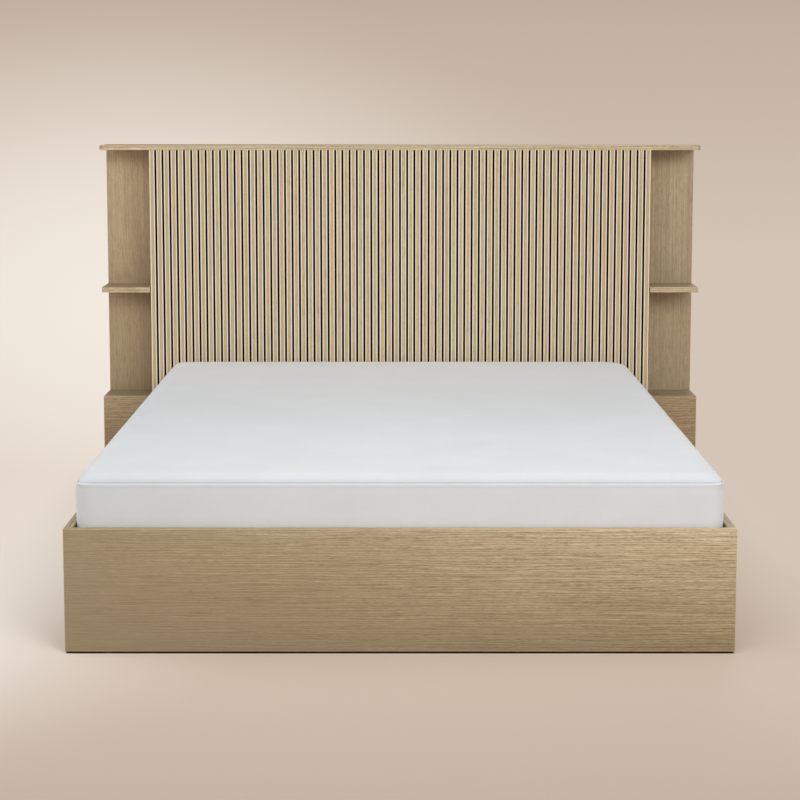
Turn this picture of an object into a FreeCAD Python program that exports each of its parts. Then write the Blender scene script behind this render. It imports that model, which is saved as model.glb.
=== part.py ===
import FreeCAD, Part
import math
import os
import re

# Ottoman bed: slatted headboard with side niches, storage base, gas-lift platform, mattress.
# Millimetres. X runs across the bed, Y towards the headboard, Z up from the floor.
# The letter u is the distance from the slat face of the headboard towards the foot.

DIMENSIONS = (
    ("rail_thick", 22, "side rail board"),
    ("foot_thick", 20, "footboard board"),
    ("side_height", 352, "top of rails and footboard"),
    ("glide_height", 5, "floor glides"),
    ("glide_radius", 8.5, "floor glides"),
    ("glide_inset", 120, "outer glides in from the ends"),
    ("arris", 1.2, "eased edge of every board"),
    ("head_height", 1352, "top of headboard"),
    ("top_thick", 19, "headboard top board"),
    ("board_thick", 18, "headboard carcass boards"),
    ("slat_count", 70, "headboard slats"),
    ("panel_reach", 64, "slatted panel past the side rails"),
    ("slat_gap", 5, "between headboard slats"),
    ("slat_depth", 12, "headboard slats"),
    ("slat_round", 2.5, "front corners of headboard slats"),
    ("backing_thick", 10, "dark board behind the slats"),
    ("back_thick", 12, "rear panel of the centre section"),
    ("niche_width", 191.5, "side niches"),
    ("niche_depth", 150, "side niches"),
    ("shelf_top", 789, "upper face of the niche shelf"),
    ("shelf_thick", 21, "niche shelf"),
    ("box_top", 350, "upper face of the lower boxes"),
    ("stud_share", 0.34, "studs, share of the half panel"),
    ("cross_thick", 18, "head cross rail"),
    ("cross_low", 12, "underside of head cross rail"),
    ("cross_top", 200, "top of head cross rail and support angles"),
    ("batten_size", 20, "floor battens, square"),
    ("batten_low", 10, "underside of floor battens"),
    ("beam_half", 40, "centre floor beam, half width"),
    ("floor_thick", 10, "storage floor panels"),
    ("floor_gap", 0.6, "between floor panels"),
    ("bracket_leg", 60, "corner brackets"),
    ("bracket_thick", 3, "corner brackets and support angles"),
    ("bracket_lift", 5, "corner brackets over the storage floor"),
    ("bracket_height", 80, "corner brackets"),
    ("bolt_radius", 8, "bolt heads"),
    ("bolt_crown", 5.5, "bolt heads, outer radius"),
    ("bolt_height", 5, "bolt heads"),
    ("angle_reach", 70, "support angle, level flange"),
    ("angle_drop", 40, "support angle, upright flange"),
    ("angle_clear", 16, "support angle clear of the open arm"),
    ("angle_end", 26, "support angle short of the footboard"),
    ("buffer_radius", 11, "rubber buffers"),
    ("buffer_height", 5, "rubber buffers"),
    ("buffer_inset", 90, "outer buffers in from the angle ends"),
    ("tube_size", 30, "platform tube, square"),
    ("tube_wall", 2, "platform tube"),
    ("platform_head", 12, "u of the platform head end"),
    ("platform_end", 32, "platform short of the footboard"),
    ("spine_half", 20, "centre tube, half width"),
    ("bank_count", 14, "sprung slats in each bank"),
    ("bank_lead", 42, "head tube to the first sprung slat"),
    ("bank_tail", 20, "last sprung slat to the foot tube"),
    ("spring_width", 62, "sprung slats"),
    ("spring_thick", 8, "sprung slats"),
    ("spring_bow", 6, "rise of a sprung slat"),
    ("spring_inner", 7, "inner end of a sprung slat from the centre"),
    ("spring_inset", 6, "sprung slat short of the outer tube face"),
    ("holder_length", 36, "slat holders"),
    ("holder_edge", 3, "slat holder wall"),
    ("holder_floor", 1, "slat holder under the slat"),
    ("holder_room", 1.3, "slat holder over the slat end"),
    ("slat_fit", 0.2, "slat in its holder, each side"),
    ("mattress_length", 2000, "mattress"),
    ("mattress_width", 1800, "mattress"),
    ("mattress_height", 246, "mattress at the crown"),
    ("mattress_corner", 52, "mattress corners in plan"),
    ("mattress_round", 40, "inset that the edge shares scale"),
    ("head_gap", 12, "mattress to slat face"),
    ("foot_gap", 10, "mattress to footboard"),
    ("side_gap", 8, "mattress to side rail"),
    ("lift_u", 140, "platform pivot on the arm"),
    ("lift_rise", 7, "platform pivot over the tube underside"),
    ("arm_length", 280, "arm pivot to platform pivot"),
    ("arm_clear", 10, "arm eye over the storage floor"),
    ("lift_turn", 63, "arm turn to fully open"),
    ("tilt_share", 0.6, "platform tilt for each degree of arm turn"),
    ("strut_back", 70, "strut stud on the arm, behind the arm pivot"),
    ("stud_clear", 0.9, "lift plate over the storage floor"),
    ("lobe_clear", 8, "arm lobe under the mattress"),
    ("track_reach", 80, "guide roller behind the platform pivot"),
    ("track_clear", 0.4, "roller to slot, each side"),
    ("plate_thick", 6, "lift plates, arms and platform brackets"),
    ("plate_margin", 13, "lift plate outside the slot"),
    ("pivot_land", 28, "lift plate round the arm pivot"),
    ("stud_land", 11, "lift plate round the strut stud"),
    ("collar_length", 6, "platform bracket to arm"),
    ("arm_eye", 22, "arm round its pivot"),
    ("arm_tip", 20, "arm round the platform pivot"),
    ("arm_lobe", 15, "arm round the strut stud"),
    ("bracket_reach", 122, "platform bracket ahead of its pivot"),
    ("bracket_step", 4, "front of the platform bracket over its pivot"),
    ("pin_radius", 8, "arm and platform pivots"),
    ("head_radius", 13, "heads and collars of the pivots"),
    ("head_thick", 2.6, "heads of the pivots"),
    ("run_fit", 0.08, "running fit, radial"),
    ("end_play", 0.3, "between turning faces"),
    ("stud_radius", 5, "strut studs"),
    ("stud_end", 1.5, "strut stud past its eye"),
    ("roller_pin", 4, "guide roller pin radius"),
    ("roller_radius", 8, "guide roller"),
    ("roller_thick", 4.8, "guide roller"),
    ("strut_outer", 8, "strut cylinder radius"),
    ("strut_bore", 4.4, "strut cylinder bore radius"),
    ("rod_radius", 4, "strut rod radius"),
    ("eye_radius", 9, "strut eyes"),
    ("eye_thick", 10, "strut eyes"),
    ("strut_clear", 1, "strut to lift plate and to arm"),
    ("mouth_gap", 25, "cylinder mouth short of the arm stud"),
    ("cylinder_heel", 5, "strut stud to cylinder heel"),
    ("bore_start", 13, "strut stud to end of bore"),
    ("rod_back", 17, "free end of the rod short of the plate stud"),
    ("hoop_half", 320, "mattress stop, leg from the centre"),
    ("hoop_rod", 4, "mattress stop rod radius"),
    ("hoop_bend", 30, "mattress stop bend"),
    ("hoop_lap", 5, "mattress stop legs over the tube underside"),
    ("hoop_rise", 100, "mattress stop over the underside of the mattress"),
    ("strap_half", 20, "lift strap, half width"),
    ("strap_thick", 2.5, "lift strap"),
    ("strap_gap", 6, "lift strap to the centre tube"),
    ("strap_bend", 12, "lift strap loop radius"),
    ("strap_drop", 92, "lift strap loop below the tube"),
    ("overrun", 2, "cutting tools past the faces they cut"),
)

# Heights and insets of the mattress outline, from the underside up
MATTRESS_HEIGHT_SHARES = (0, 0.012, 0.03, 0.06, 0.1, 0.3, 0.5, 0.7, 0.85, 0.9, 0.935, 0.96, 0.978,
                          0.988, 0.994, 0.998, 1)
MATTRESS_INSET_SHARES = (0.5, 0.3, 0.14, 0.04, 0, 0.03, 0.05, 0.03, 0, 0.05, 0.16, 0.34, 0.62,
                         1, 2, 4.5, 9)

# Places of repeated small pieces along what carries them
BASE_GLIDE_SHARES = (("head", "1 / 8"), ("middle", "1 / 2"), ("foot", "7 / 8"))
HEAD_GLIDE_SHARES = (("front", "1 / 4"), ("rear", "3 / 4"))
BUFFER_SHARES = ("0", "1 / 3", "2 / 3", "1")
BOLT_SHARES = ("1 / 4", "3 / 4")

# Sizes and places that follow from the table
DERIVED = (
    ("head_depth", "niche_depth + board_thick"),
    ("rail_length", "head_gap + mattress_length + foot_gap"),
    ("face_y", "(rail_length + foot_thick - head_depth) / 2"),
    ("rail_inner", "mattress_width / 2 + side_gap"),
    ("bed_half", "rail_inner + rail_thick"),
    ("panel_half", "bed_half + panel_reach"),
    ("slat_pitch", "2 * panel_half / slat_count"),
    ("head_half", "panel_half + niche_width"),
    ("frame_inner", "panel_half - board_thick"),
    ("under_top", "head_height - top_thick"),
    ("floor_low", "batten_low + batten_size"),
    ("floor_top", "floor_low + floor_thick"),
    ("bracket_low", "floor_top + bracket_lift"),
    ("tube_low", "cross_top + buffer_height"),
    ("tube_top", "tube_low + tube_size"),
    ("mattress_bottom", "tube_top + holder_floor + spring_thick + spring_bow"),
    ("plate_inner", "rail_inner - plate_thick"),
    ("strut_layer", "plate_inner - strut_clear - strut_outer"),
    ("arm_outer", "strut_layer - strut_outer - strut_clear"),
    ("arm_inner", "arm_outer - plate_thick"),
    ("bracket_outer", "arm_inner - collar_length"),
    ("tube_outer", "bracket_outer - plate_thick"),
    ("tube_inner", "tube_outer - tube_size"),
    ("platform_foot", "rail_length - platform_end"),
    ("bank_start", "platform_head + tube_size + bank_lead"),
    ("bank_stop", "platform_foot - tube_size - bank_tail"),
    ("bank_pitch", "(bank_stop - spring_width - bank_start) / (bank_count - 1)"),
    ("spring_outer", "tube_outer - spring_inset"),
    ("hoop_low", "tube_low + hoop_lap"),
    ("hoop_top", "mattress_bottom + hoop_rise"),
    ("lift_z", "tube_low + lift_rise"),
    ("track_u", "lift_u - track_reach"),
    ("track_z", "lift_z"),
    ("bracket_front", "lift_u + bracket_reach"),
    ("bracket_rise", "lift_z + bracket_step"),
    ("arm_z", "floor_top + arm_eye + arm_clear"),
    ("arm_u", "lift_u + sqrt(pow(arm_length; 2) - pow(lift_z - arm_z; 2))"),
    ("arm_stud_u", "arm_u - strut_back"),
    ("arm_stud_z", "mattress_bottom - arm_lobe - lobe_clear"),
    ("strut_radius", "hypot(strut_back; arm_stud_z - arm_z)"),
    ("base_stud_z", "floor_top + stud_land + stud_clear"),
    ("base_stud_u", "arm_u - sqrt(pow(strut_radius; 2) - pow(arm_z - base_stud_z; 2))"),
    ("strut_span", "hypot(arm_stud_u - base_stud_u; arm_stud_z - base_stud_z)"),
    ("strut_lean", "atan2(arm_stud_u - base_stud_u; arm_stud_z - base_stud_z)"),
    ("stud_lean", "atan2(arm_stud_z - arm_z; -strut_back)"),
    ("cylinder_reach", "strut_span - mouth_gap"),
    ("rod_length", "strut_span - rod_back"),
    ("angle_start", "arm_u + strut_radius * cos(stud_lean - lift_turn * 1 deg) + arm_lobe + angle_clear"),
    ("angle_stop", "rail_length - angle_end"),
)

SIDES = (("left", -1), ("right", 1))
WORD = re.compile(r"[a-z][a-z_0-9]*")

doc = FreeCAD.newDocument("ottoman_bed")
sheet = doc.addObject("Spreadsheet::Sheet", "dims")
for row, (alias, number, note) in enumerate(DIMENSIONS, start=1):
    sheet.set("A" + str(row), note)
    sheet.set("B" + str(row), str(number))
    sheet.setAlias("B" + str(row), alias)
derived = doc.addObject("App::VarSet", "derived")
CELLS = {entry[0] for entry in DIMENSIONS}
FOLLOWERS = {entry[0] for entry in DERIVED}
PARTS = []


def formula(text):
    """Spell a formula out in cells of the sheet and sizes that follow from them."""
    def swap(match):
        word = match.group(0)
        if word in CELLS:
            return "dims." + word
        if word in FOLLOWERS:
            return "derived." + word
        return word
    return WORD.sub(swap, str(text))


for alias, text in DERIVED:
    kind = "App::PropertyAngle" if alias.endswith("_lean") else "App::PropertyFloat"
    derived.addProperty(kind, alias)
    derived.setExpression(alias, formula(text))
doc.recompute()


def bind(item, path, text):
    item.setExpression(path, formula(text))


def number(alias):
    return float(sheet.get(alias) if alias in CELLS else getattr(derived, alias))


def keep(item, label):
    """Name a finished sub-part and list it for writing."""
    item.Label = label
    PARTS.append(item)
    return item


def mirrored(sign, low, high):
    """Range across the bed for the right side, or its mirror for the left."""
    if sign > 0:
        return (low, high)
    return ("-(" + high + ")", "-(" + low + ")")


def corner(item, x, u, z):
    """Place an item by the low corner of its ranges."""
    bind(item, "Placement.Base.x", x[0])
    bind(item, "Placement.Base.y", "face_y - (" + u[1] + ")")
    bind(item, "Placement.Base.z", z[0])


def extent(item, x, u, z):
    bind(item, "Length", "(" + x[1] + ") - (" + x[0] + ")")
    bind(item, "Width", "(" + u[1] + ") - (" + u[0] + ")")
    bind(item, "Height", "(" + z[1] + ") - (" + z[0] + ")")


def box(name, x, u, z):
    item = doc.addObject("Part::Box", name)
    extent(item, x, u, z)
    corner(item, x, u, z)
    return item


def board(label, x, u, z, ease="arris"):
    """Flat board with every edge eased."""
    body = doc.addObject("PartDesign::Body", label)
    blank = body.newObject("PartDesign::AdditiveBox", label + "_blank")
    extent(blank, x, u, z)
    doc.recompute()
    eased = body.newObject("PartDesign::Fillet", label + "_eased")
    eased.Base = (blank, ["Face1"])
    eased.UseAllEdges = True
    bind(eased, "Radius", ease)
    corner(body, x, u, z)
    return keep(body, label)


def tube(label, x, u, z, along):
    """Square tube, open at both ends."""
    body = doc.addObject("PartDesign::Body", label)
    outer = body.newObject("PartDesign::AdditiveBox", label + "_outer")
    extent(outer, x, u, z)
    inner = body.newObject("PartDesign::SubtractiveBox", label + "_inner")
    spans = {"x": ("Length", x), "y": ("Width", u), "z": ("Height", z)}
    for axis, (size, span) in spans.items():
        whole = "(" + span[1] + ") - (" + span[0] + ")"
        if axis == along:
            bind(inner, size, whole + " + 2 * overrun")
            bind(inner, "Placement.Base." + axis, "-overrun")
        else:
            bind(inner, size, whole + " - 2 * tube_wall")
            bind(inner, "Placement.Base." + axis, "tube_wall")
    corner(body, x, u, z)
    return keep(body, label)


def turned(axis, degrees):
    return FreeCAD.Placement(FreeCAD.Vector(), FreeCAD.Rotation(axis, degrees))


X_AXIS = FreeCAD.Vector(1, 0, 0)
Y_AXIS = FreeCAD.Vector(0, 1, 0)
Z_AXIS = FreeCAD.Vector(0, 0, 1)


def centre(item, x, u, z):
    bind(item, "Placement.Base.x", x)
    bind(item, "Placement.Base.y", "face_y - (" + u + ")")
    bind(item, "Placement.Base.z", z)


def rod(name, radius, length, x, u, z, axis=Z_AXIS, degrees=0):
    """Round bar from a centre, standing up unless it is turned."""
    item = doc.addObject("Part::Cylinder", name)
    item.Placement = turned(axis, degrees)
    bind(item, "Radius", radius)
    bind(item, "Height", length)
    centre(item, x, u, z)
    return item


def cross_rod(name, radius, x, u, z):
    """Round bar lying across the bed."""
    return rod(name, radius, "(" + x[1] + ") - (" + x[0] + ")", x[0], u, z, Y_AXIS, 90)


def fused(name, shapes):
    item = doc.addObject("Part::MultiFuse", name)
    item.Shapes = shapes
    return item


def cut(name, base, tools):
    item = doc.addObject("Part::Cut", name)
    item.Base = base
    item.Tool = tools[0] if len(tools) == 1 else fused(name + "_tools", tools)
    return item


def group(label, members):
    item = doc.addObject("Part::Compound", label)
    item.Links = members
    return keep(item, label)


def sketch_on(body, role, name, geometry):
    sketch = body.newObject("Sketcher::SketchObject", name)
    plane = next(f for f in body.Origin.OriginFeatures if f.Role == role)
    sketch.AttachmentSupport = [(plane, "")]
    sketch.MapMode = "FlatFace"
    sketch.addGeometry(geometry, False)
    return sketch


def padded(body, sketch, length, backward=False):
    pad = body.newObject("PartDesign::Pad", sketch.Name + "_pad")
    pad.Profile = sketch
    pad.Reversed = backward
    bind(pad, "Length", length)
    body.Tip = pad
    return pad


def flange(body, name, place, radius, offset, length, backward):
    """Round head on a pin, some way out from the plate that carries it."""
    y, z, r = side_disc(place, radius)
    sketch = sketch_on(body, "YZ_Plane", name, [round_wire(y, z, r)])
    bind(sketch, "AttachmentOffset.Base.z", offset)
    return padded(body, sketch, length, backward)


def round_wire(x, y, radius):
    return Part.Circle(FreeCAD.Vector(x, y, 0), Z_AXIS, radius)


def arc(x, y, radius, start, stop):
    while stop < start:
        stop += 2 * math.pi
    return Part.ArcOfCircle(round_wire(x, y, radius), start, stop)


def polygon(points):
    corners = [FreeCAD.Vector(x, y, 0) for x, y in points]
    return [Part.LineSegment(a, b) for a, b in zip(corners, corners[1:] + corners[:1])]


def hull_order(discs, steps=720):
    """Discs met in turn along the taut band round them all, anticlockwise."""
    order = []
    for step in range(steps):
        heading = 2 * math.pi * step / steps
        reach = [x * math.cos(heading) + y * math.sin(heading) + r for x, y, r in discs]
        furthest = reach.index(max(reach))
        if not order or order[-1] != furthest:
            order.append(furthest)
    if len(order) > 1 and order[0] == order[-1]:
        order.pop()
    return [discs[i] for i in order]


def taut_band(discs):
    """Outline of the taut band round discs given as x, y, radius."""
    ring = hull_order(discs)
    normals = []
    for (ax, ay, ar), (bx, by, br) in zip(ring, ring[1:] + ring[:1]):
        span = math.hypot(bx - ax, by - ay)
        normals.append(math.atan2(by - ay, bx - ax) - math.acos((ar - br) / span))
    edges = []
    for i, (x, y, r) in enumerate(ring):
        nx, ny, nr = ring[(i + 1) % len(ring)]
        leave = normals[i]
        edges.append(arc(x, y, r, normals[i - 1], leave))
        start = FreeCAD.Vector(x + r * math.cos(leave), y + r * math.sin(leave), 0)
        stop = FreeCAD.Vector(nx + nr * math.cos(leave), ny + nr * math.sin(leave), 0)
        edges.append(Part.LineSegment(start, stop))
    return edges


# Places on the lift, as u and z
face_y = number("face_y")


def polar(start, length, degrees):
    angle = math.radians(degrees)
    return (start[0] + length * math.cos(angle), start[1] + length * math.sin(angle))


def place_of(name):
    return (number(name + "_u"), number(name + "_z"))


lift_at = place_of("lift")
arm_at = place_of("arm")
base_stud_at = place_of("base_stud")
arm_stud_at = place_of("arm_stud")
track_at = place_of("track")
arm_angle = math.degrees(math.atan2(lift_at[1] - arm_at[1], lift_at[0] - arm_at[0]))


def track_point(turn):
    """Guide roller centre when the arm has turned through some degrees."""
    pivot = polar(arm_at, number("arm_length"), arm_angle - turn)
    tilt = math.radians(number("tilt_share") * turn)
    du = track_at[0] - lift_at[0]
    dz = track_at[1] - lift_at[1]
    return (pivot[0] + du * math.cos(tilt) - dz * math.sin(tilt),
            pivot[1] + du * math.sin(tilt) + dz * math.cos(tilt))


TRACK_STEPS = 24
TRACK = [track_point(number("lift_turn") * i / TRACK_STEPS) for i in range(TRACK_STEPS + 1)]


def side_disc(place, radius):
    """Disc in the side view, with u turned into Y."""
    return (face_y - place[0], place[1], radius)


def slot_outline(path, half):
    """Closed slot of even width along a smooth path given as u and z."""
    points = [(face_y - u, z) for u, z in path]
    headings = []
    for i in range(len(points)):
        before = points[max(i - 1, 0)]
        after = points[min(i + 1, len(points) - 1)]
        headings.append(math.atan2(after[1] - before[1], after[0] - before[0]))
    walls = []
    for quarter in (math.pi / 2, -math.pi / 2):
        wall = []
        for (y, z), heading in zip(points, headings):
            side = heading + quarter
            wall.append(FreeCAD.Vector(y + half * math.cos(side), z + half * math.sin(side), 0))
        curve = Part.BSplineCurve()
        curve.interpolate(wall)
        walls.append(curve)
    first = arc(points[0][0], points[0][1], half, headings[0] + math.pi / 2,
                headings[0] + 3 * math.pi / 2)
    last = arc(points[-1][0], points[-1][1], half, headings[-1] - math.pi / 2,
               headings[-1] + math.pi / 2)
    return [walls[0], last, walls[1], first]


# Headboard boards
board("headboard_top_board", ("-(head_half)", "head_half"), ("-head_depth", "0"),
      ("under_top", "head_height"))
board("headboard_lower_panel", ("-(panel_half)", "panel_half"), ("-slat_depth", "0"),
      ("glide_height", "box_top"))
board("slat_backing", ("-(frame_inner)", "frame_inner"), ("-slat_depth - backing_thick", "-slat_depth"),
      ("glide_height", "under_top"))
board("centre_back_panel", ("-(frame_inner)", "frame_inner"), ("-head_depth", "-head_depth + back_thick"),
      ("glide_height", "under_top"))
studs = []
for side, sign in SIDES:
    spot = "panel_half * stud_share"
    studs.append(box(side + "_stud", mirrored(sign, spot, spot + " + board_thick"),
                     ("-head_depth + back_thick", "-slat_depth - backing_thick"),
                     ("glide_height", "under_top")))
group("headboard_studs", studs)

for side, sign in SIDES:
    niche = mirrored(sign, "panel_half", "head_half")
    board(side + "_upright", mirrored(sign, "frame_inner", "panel_half"), ("-head_depth", "-slat_depth"),
          ("glide_height", "under_top"))
    board(side + "_niche_back", niche, ("-head_depth", "-niche_depth"), ("glide_height", "under_top"))
    board(side + "_mid_shelf", niche, ("-niche_depth", "0"), ("shelf_top - shelf_thick", "shelf_top"))
    board(side + "_box_front", niche, ("-board_thick", "0"), ("glide_height", "box_top"))
    board(side + "_box_top", niche, ("-niche_depth", "-board_thick"), ("box_top - board_thick", "box_top"))
    board(side + "_box_side", mirrored(sign, "head_half - board_thick", "head_half"),
          ("-niche_depth", "-board_thick"), ("glide_height", "box_top - board_thick"))


# Headboard slats, each half a row of equal slats with rounded front corners
def slat_profile():
    wide = number("slat_pitch") - number("slat_gap")
    deep = number("slat_depth")
    bend = number("slat_round")
    quarter = math.pi / 2
    turns = [arc(bend, bend, bend, 2 * quarter, 3 * quarter),
             arc(wide - bend, bend, bend, 3 * quarter, 4 * quarter)]
    marks = [(bend, 0), (wide - bend, 0), (wide, bend), (wide, deep), (0, deep), (0, bend)]
    ends = [FreeCAD.Vector(x, y, 0) for x, y in marks]
    lines = [Part.LineSegment(ends[0], ends[1]), Part.LineSegment(ends[2], ends[3]),
             Part.LineSegment(ends[3], ends[4]), Part.LineSegment(ends[4], ends[5])]
    return lines + turns


for side, sign in SIDES:
    label = side + "_slats"
    body = doc.addObject("PartDesign::Body", label)
    profile = sketch_on(body, "XY_Plane", label + "_profile", slat_profile())
    slat = padded(body, profile, "under_top - box_top")
    row = body.newObject("PartDesign::LinearPattern", label + "_row")
    row.Originals = [slat]
    row.Direction = (profile, ["H_Axis"])
    row.Mode = "Spacing"
    bind(row, "Offset", "slat_pitch")
    bind(row, "Occurrences", "slat_count / 2")
    body.Tip = row
    start = "slat_gap / 2" if sign > 0 else "slat_gap / 2 - panel_half"
    bind(body, "Placement.Base.x", start)
    bind(body, "Placement.Base.y", "face_y")
    bind(body, "Placement.Base.z", "box_top")
    keep(body, label)

glides = []
for side, sign in SIDES:
    for spot, across in (("side", "head_half - board_thick / 2"), ("post", "frame_inner + board_thick / 2")):
        for end, share in HEAD_GLIDE_SHARES:
            x = across if sign > 0 else "-(" + across + ")"
            u = "-niche_depth * " + share
            glides.append(rod(side + "_" + spot + "_" + end + "_glide", "glide_radius", "glide_height",
                              x, u, "0"))
group("headboard_glides", glides)

# Storage base
board("footboard", ("-bed_half", "bed_half"), ("rail_length", "rail_length + foot_thick"),
      ("glide_height", "side_height"))
for side, sign in SIDES:
    board(side + "_side_rail", mirrored(sign, "rail_inner", "bed_half"), ("0", "rail_length"),
          ("glide_height", "side_height"))
board("head_cross_rail", ("-(rail_inner)", "rail_inner"), ("0", "cross_thick"), ("cross_low", "cross_top"))

battens = [box("foot_batten", ("-(rail_inner)", "rail_inner"), ("rail_length - batten_size", "rail_length"),
               ("batten_low", "floor_low"))]
for side, sign in SIDES:
    battens.append(box(side + "_batten", mirrored(sign, "rail_inner - batten_size", "rail_inner"),
                       ("cross_thick", "rail_length - batten_size"), ("batten_low", "floor_low")))
group("floor_battens", battens)
board("floor_centre_beam", ("-beam_half", "beam_half"), ("cross_thick", "rail_length - batten_size"),
      ("batten_low", "floor_low"))
for side, sign in SIDES:
    board(side + "_floor_panel", mirrored(sign, "floor_gap / 2", "rail_inner"), ("cross_thick", "rail_length"),
          ("floor_low", "floor_top"))

glides = []
for place, share in BASE_GLIDE_SHARES:
    u = "rail_length * " + share
    glides.append(rod("beam_" + place + "_glide", "beam_half / 2", "batten_low", "0", u, "0"))
    for side, sign in SIDES:
        x = "(rail_inner + rail_thick / 2)" if sign > 0 else "-(rail_inner + rail_thick / 2)"
        glides.append(rod(side + "_rail_" + place + "_glide", "glide_radius", "glide_height", x, u, "0"))
for side, sign in SIDES:
    x = "bed_half - glide_inset" if sign > 0 else "glide_inset - bed_half"
    glides.append(rod(side + "_foot_glide", "glide_radius", "glide_height", x,
                      "rail_length + foot_thick / 2", "0"))
group("base_glides", glides)

BRACKET_Z = ("bracket_low", "bracket_low + bracket_height")


def bolt(name, x, u, z, axis, degrees):
    item = doc.addObject("Part::Cone", name)
    item.Placement = turned(axis, degrees)
    bind(item, "Radius1", "bolt_radius")
    bind(item, "Radius2", "bolt_crown")
    bind(item, "Height", "bolt_height")
    centre(item, x, u, z)
    return item


bolts = []
for end in ("foot", "head"):
    angles = []
    for side, sign in SIDES:
        name = end + "_" + side
        if end == "foot":
            along = ("rail_length - bracket_leg", "rail_length")
            flat = ("rail_length - bracket_thick", "rail_length")
            face = "rail_length - bracket_thick"
            middle = "rail_length - bracket_leg / 2"
        else:
            along = ("cross_thick", "cross_thick + bracket_leg")
            flat = ("cross_thick", "cross_thick + bracket_thick")
            face = "cross_thick + bracket_thick"
            middle = "cross_thick + bracket_leg / 2"
        leg = box(name + "_rail_leg", mirrored(sign, "rail_inner - bracket_thick", "rail_inner"), along,
                  BRACKET_Z)
        toe = box(name + "_end_leg", mirrored(sign, "rail_inner - bracket_leg", "rail_inner"), flat,
                  BRACKET_Z)
        angles.append(fused(name + "_bracket", [leg, toe]))
        for i, share in enumerate(BOLT_SHARES):
            z = "bracket_low + bracket_height * " + share
            inner = "rail_inner - bracket_thick"
            x = inner if sign > 0 else "-(" + inner + ")"
            bolts.append(bolt(name + "_rail_bolt_" + str(i), x, middle, z, Y_AXIS, -90 * sign))
            inner = "rail_inner - bracket_leg / 2 - bracket_thick"
            x = inner if sign > 0 else "-(" + inner + ")"
            bolts.append(bolt(name + "_end_bolt_" + str(i), x, face, z, X_AXIS,
                              -90 if end == "foot" else 90))
    group(end + "_corner_brackets", angles)
group("frame_bolts", bolts)

buffers = []
for side, sign in SIDES:
    upright = box(side + "_angle_upright", mirrored(sign, "rail_inner - bracket_thick", "rail_inner"),
                  ("angle_start", "angle_stop"), ("cross_top - angle_drop", "cross_top"))
    level = box(side + "_angle_level", mirrored(sign, "rail_inner - angle_reach", "rail_inner"),
                ("angle_start", "angle_stop"), ("cross_top - bracket_thick", "cross_top"))
    keep(fused(side + "_support_angle", [upright, level]), side + "_support_angle")
    span = "(angle_stop - angle_start - 2 * buffer_inset)"
    for i, share in enumerate(BUFFER_SHARES):
        middle = "(tube_outer - tube_size / 2)"
        x = middle if sign > 0 else "-" + middle
        buffers.append(rod(side + "_buffer_" + str(i), "buffer_radius", "buffer_height", x,
                           "angle_start + buffer_inset + " + span + " * " + share, "cross_top"))
group("support_buffers", buffers)

# Lift plates on the side rails, with the guide slot, arm pivot and strut stud
for side, sign in SIDES:
    label = side + "_lift_plate"
    body = doc.addObject("PartDesign::Body", label)
    margin = number("roller_radius") + number("track_clear") + number("plate_margin")
    discs = [side_disc(place, margin) for place in TRACK]
    discs.append(side_disc(arm_at, number("pivot_land")))
    discs.append(side_disc(base_stud_at, number("stud_land")))
    outward = sign < 0
    outline = sketch_on(body, "YZ_Plane", label + "_outline", taut_band(discs))
    padded(body, outline, "plate_thick", outward)
    doc.recompute()
    half = number("roller_radius") + number("track_clear")
    slot = sketch_on(body, "YZ_Plane", label + "_slot", slot_outline(TRACK, half))
    track = body.newObject("PartDesign::Pocket", label + "_track")
    track.Profile = slot
    track.Type = "ThroughAll"
    track.Midplane = True
    body.Tip = track
    doc.recompute()
    y, z, r = side_disc(arm_at, number("pin_radius"))
    pivot = sketch_on(body, "YZ_Plane", label + "_pivot", [round_wire(y, z, r)])
    padded(body, pivot, "plate_inner - arm_inner + end_play + head_thick", not outward)
    y, z, r = side_disc(base_stud_at, number("stud_radius"))
    stud = sketch_on(body, "YZ_Plane", label + "_stud", [round_wire(y, z, r)])
    padded(body, stud, "plate_inner - strut_layer + eye_thick / 2 + stud_end", not outward)
    gap = "(plate_inner - arm_inner + end_play)"
    flange(body, label + "_head", arm_at, number("head_radius"), "-" + gap if sign > 0 else gap,
           "head_thick", not outward)
    bind(body, "Placement.Base.x", "plate_inner" if sign > 0 else "-(plate_inner)")
    keep(body, label)

# Lifting arms, with the stud that carries the strut rod
for side, sign in SIDES:
    label = side + "_lift_arm"
    body = doc.addObject("PartDesign::Body", label)
    outward = sign < 0
    discs = [side_disc(arm_at, number("arm_eye")), side_disc(lift_at, number("arm_tip")),
             side_disc(arm_stud_at, number("arm_lobe"))]
    holes = []
    for place in (arm_at, lift_at):
        y, z, r = side_disc(place, number("pin_radius") + number("run_fit"))
        holes.append(round_wire(y, z, r))
    outline = sketch_on(body, "YZ_Plane", label + "_outline", taut_band(discs) + holes)
    padded(body, outline, "plate_thick", not outward)
    doc.recompute()
    y, z, r = side_disc(arm_stud_at, number("stud_radius"))
    stud = sketch_on(body, "YZ_Plane", label + "_stud", [round_wire(y, z, r)])
    padded(body, stud, "strut_layer - arm_outer + eye_thick / 2 + stud_end", outward)
    bind(body, "Placement.Base.x", "arm_outer" if sign > 0 else "-(arm_outer)")
    keep(body, label)

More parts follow.
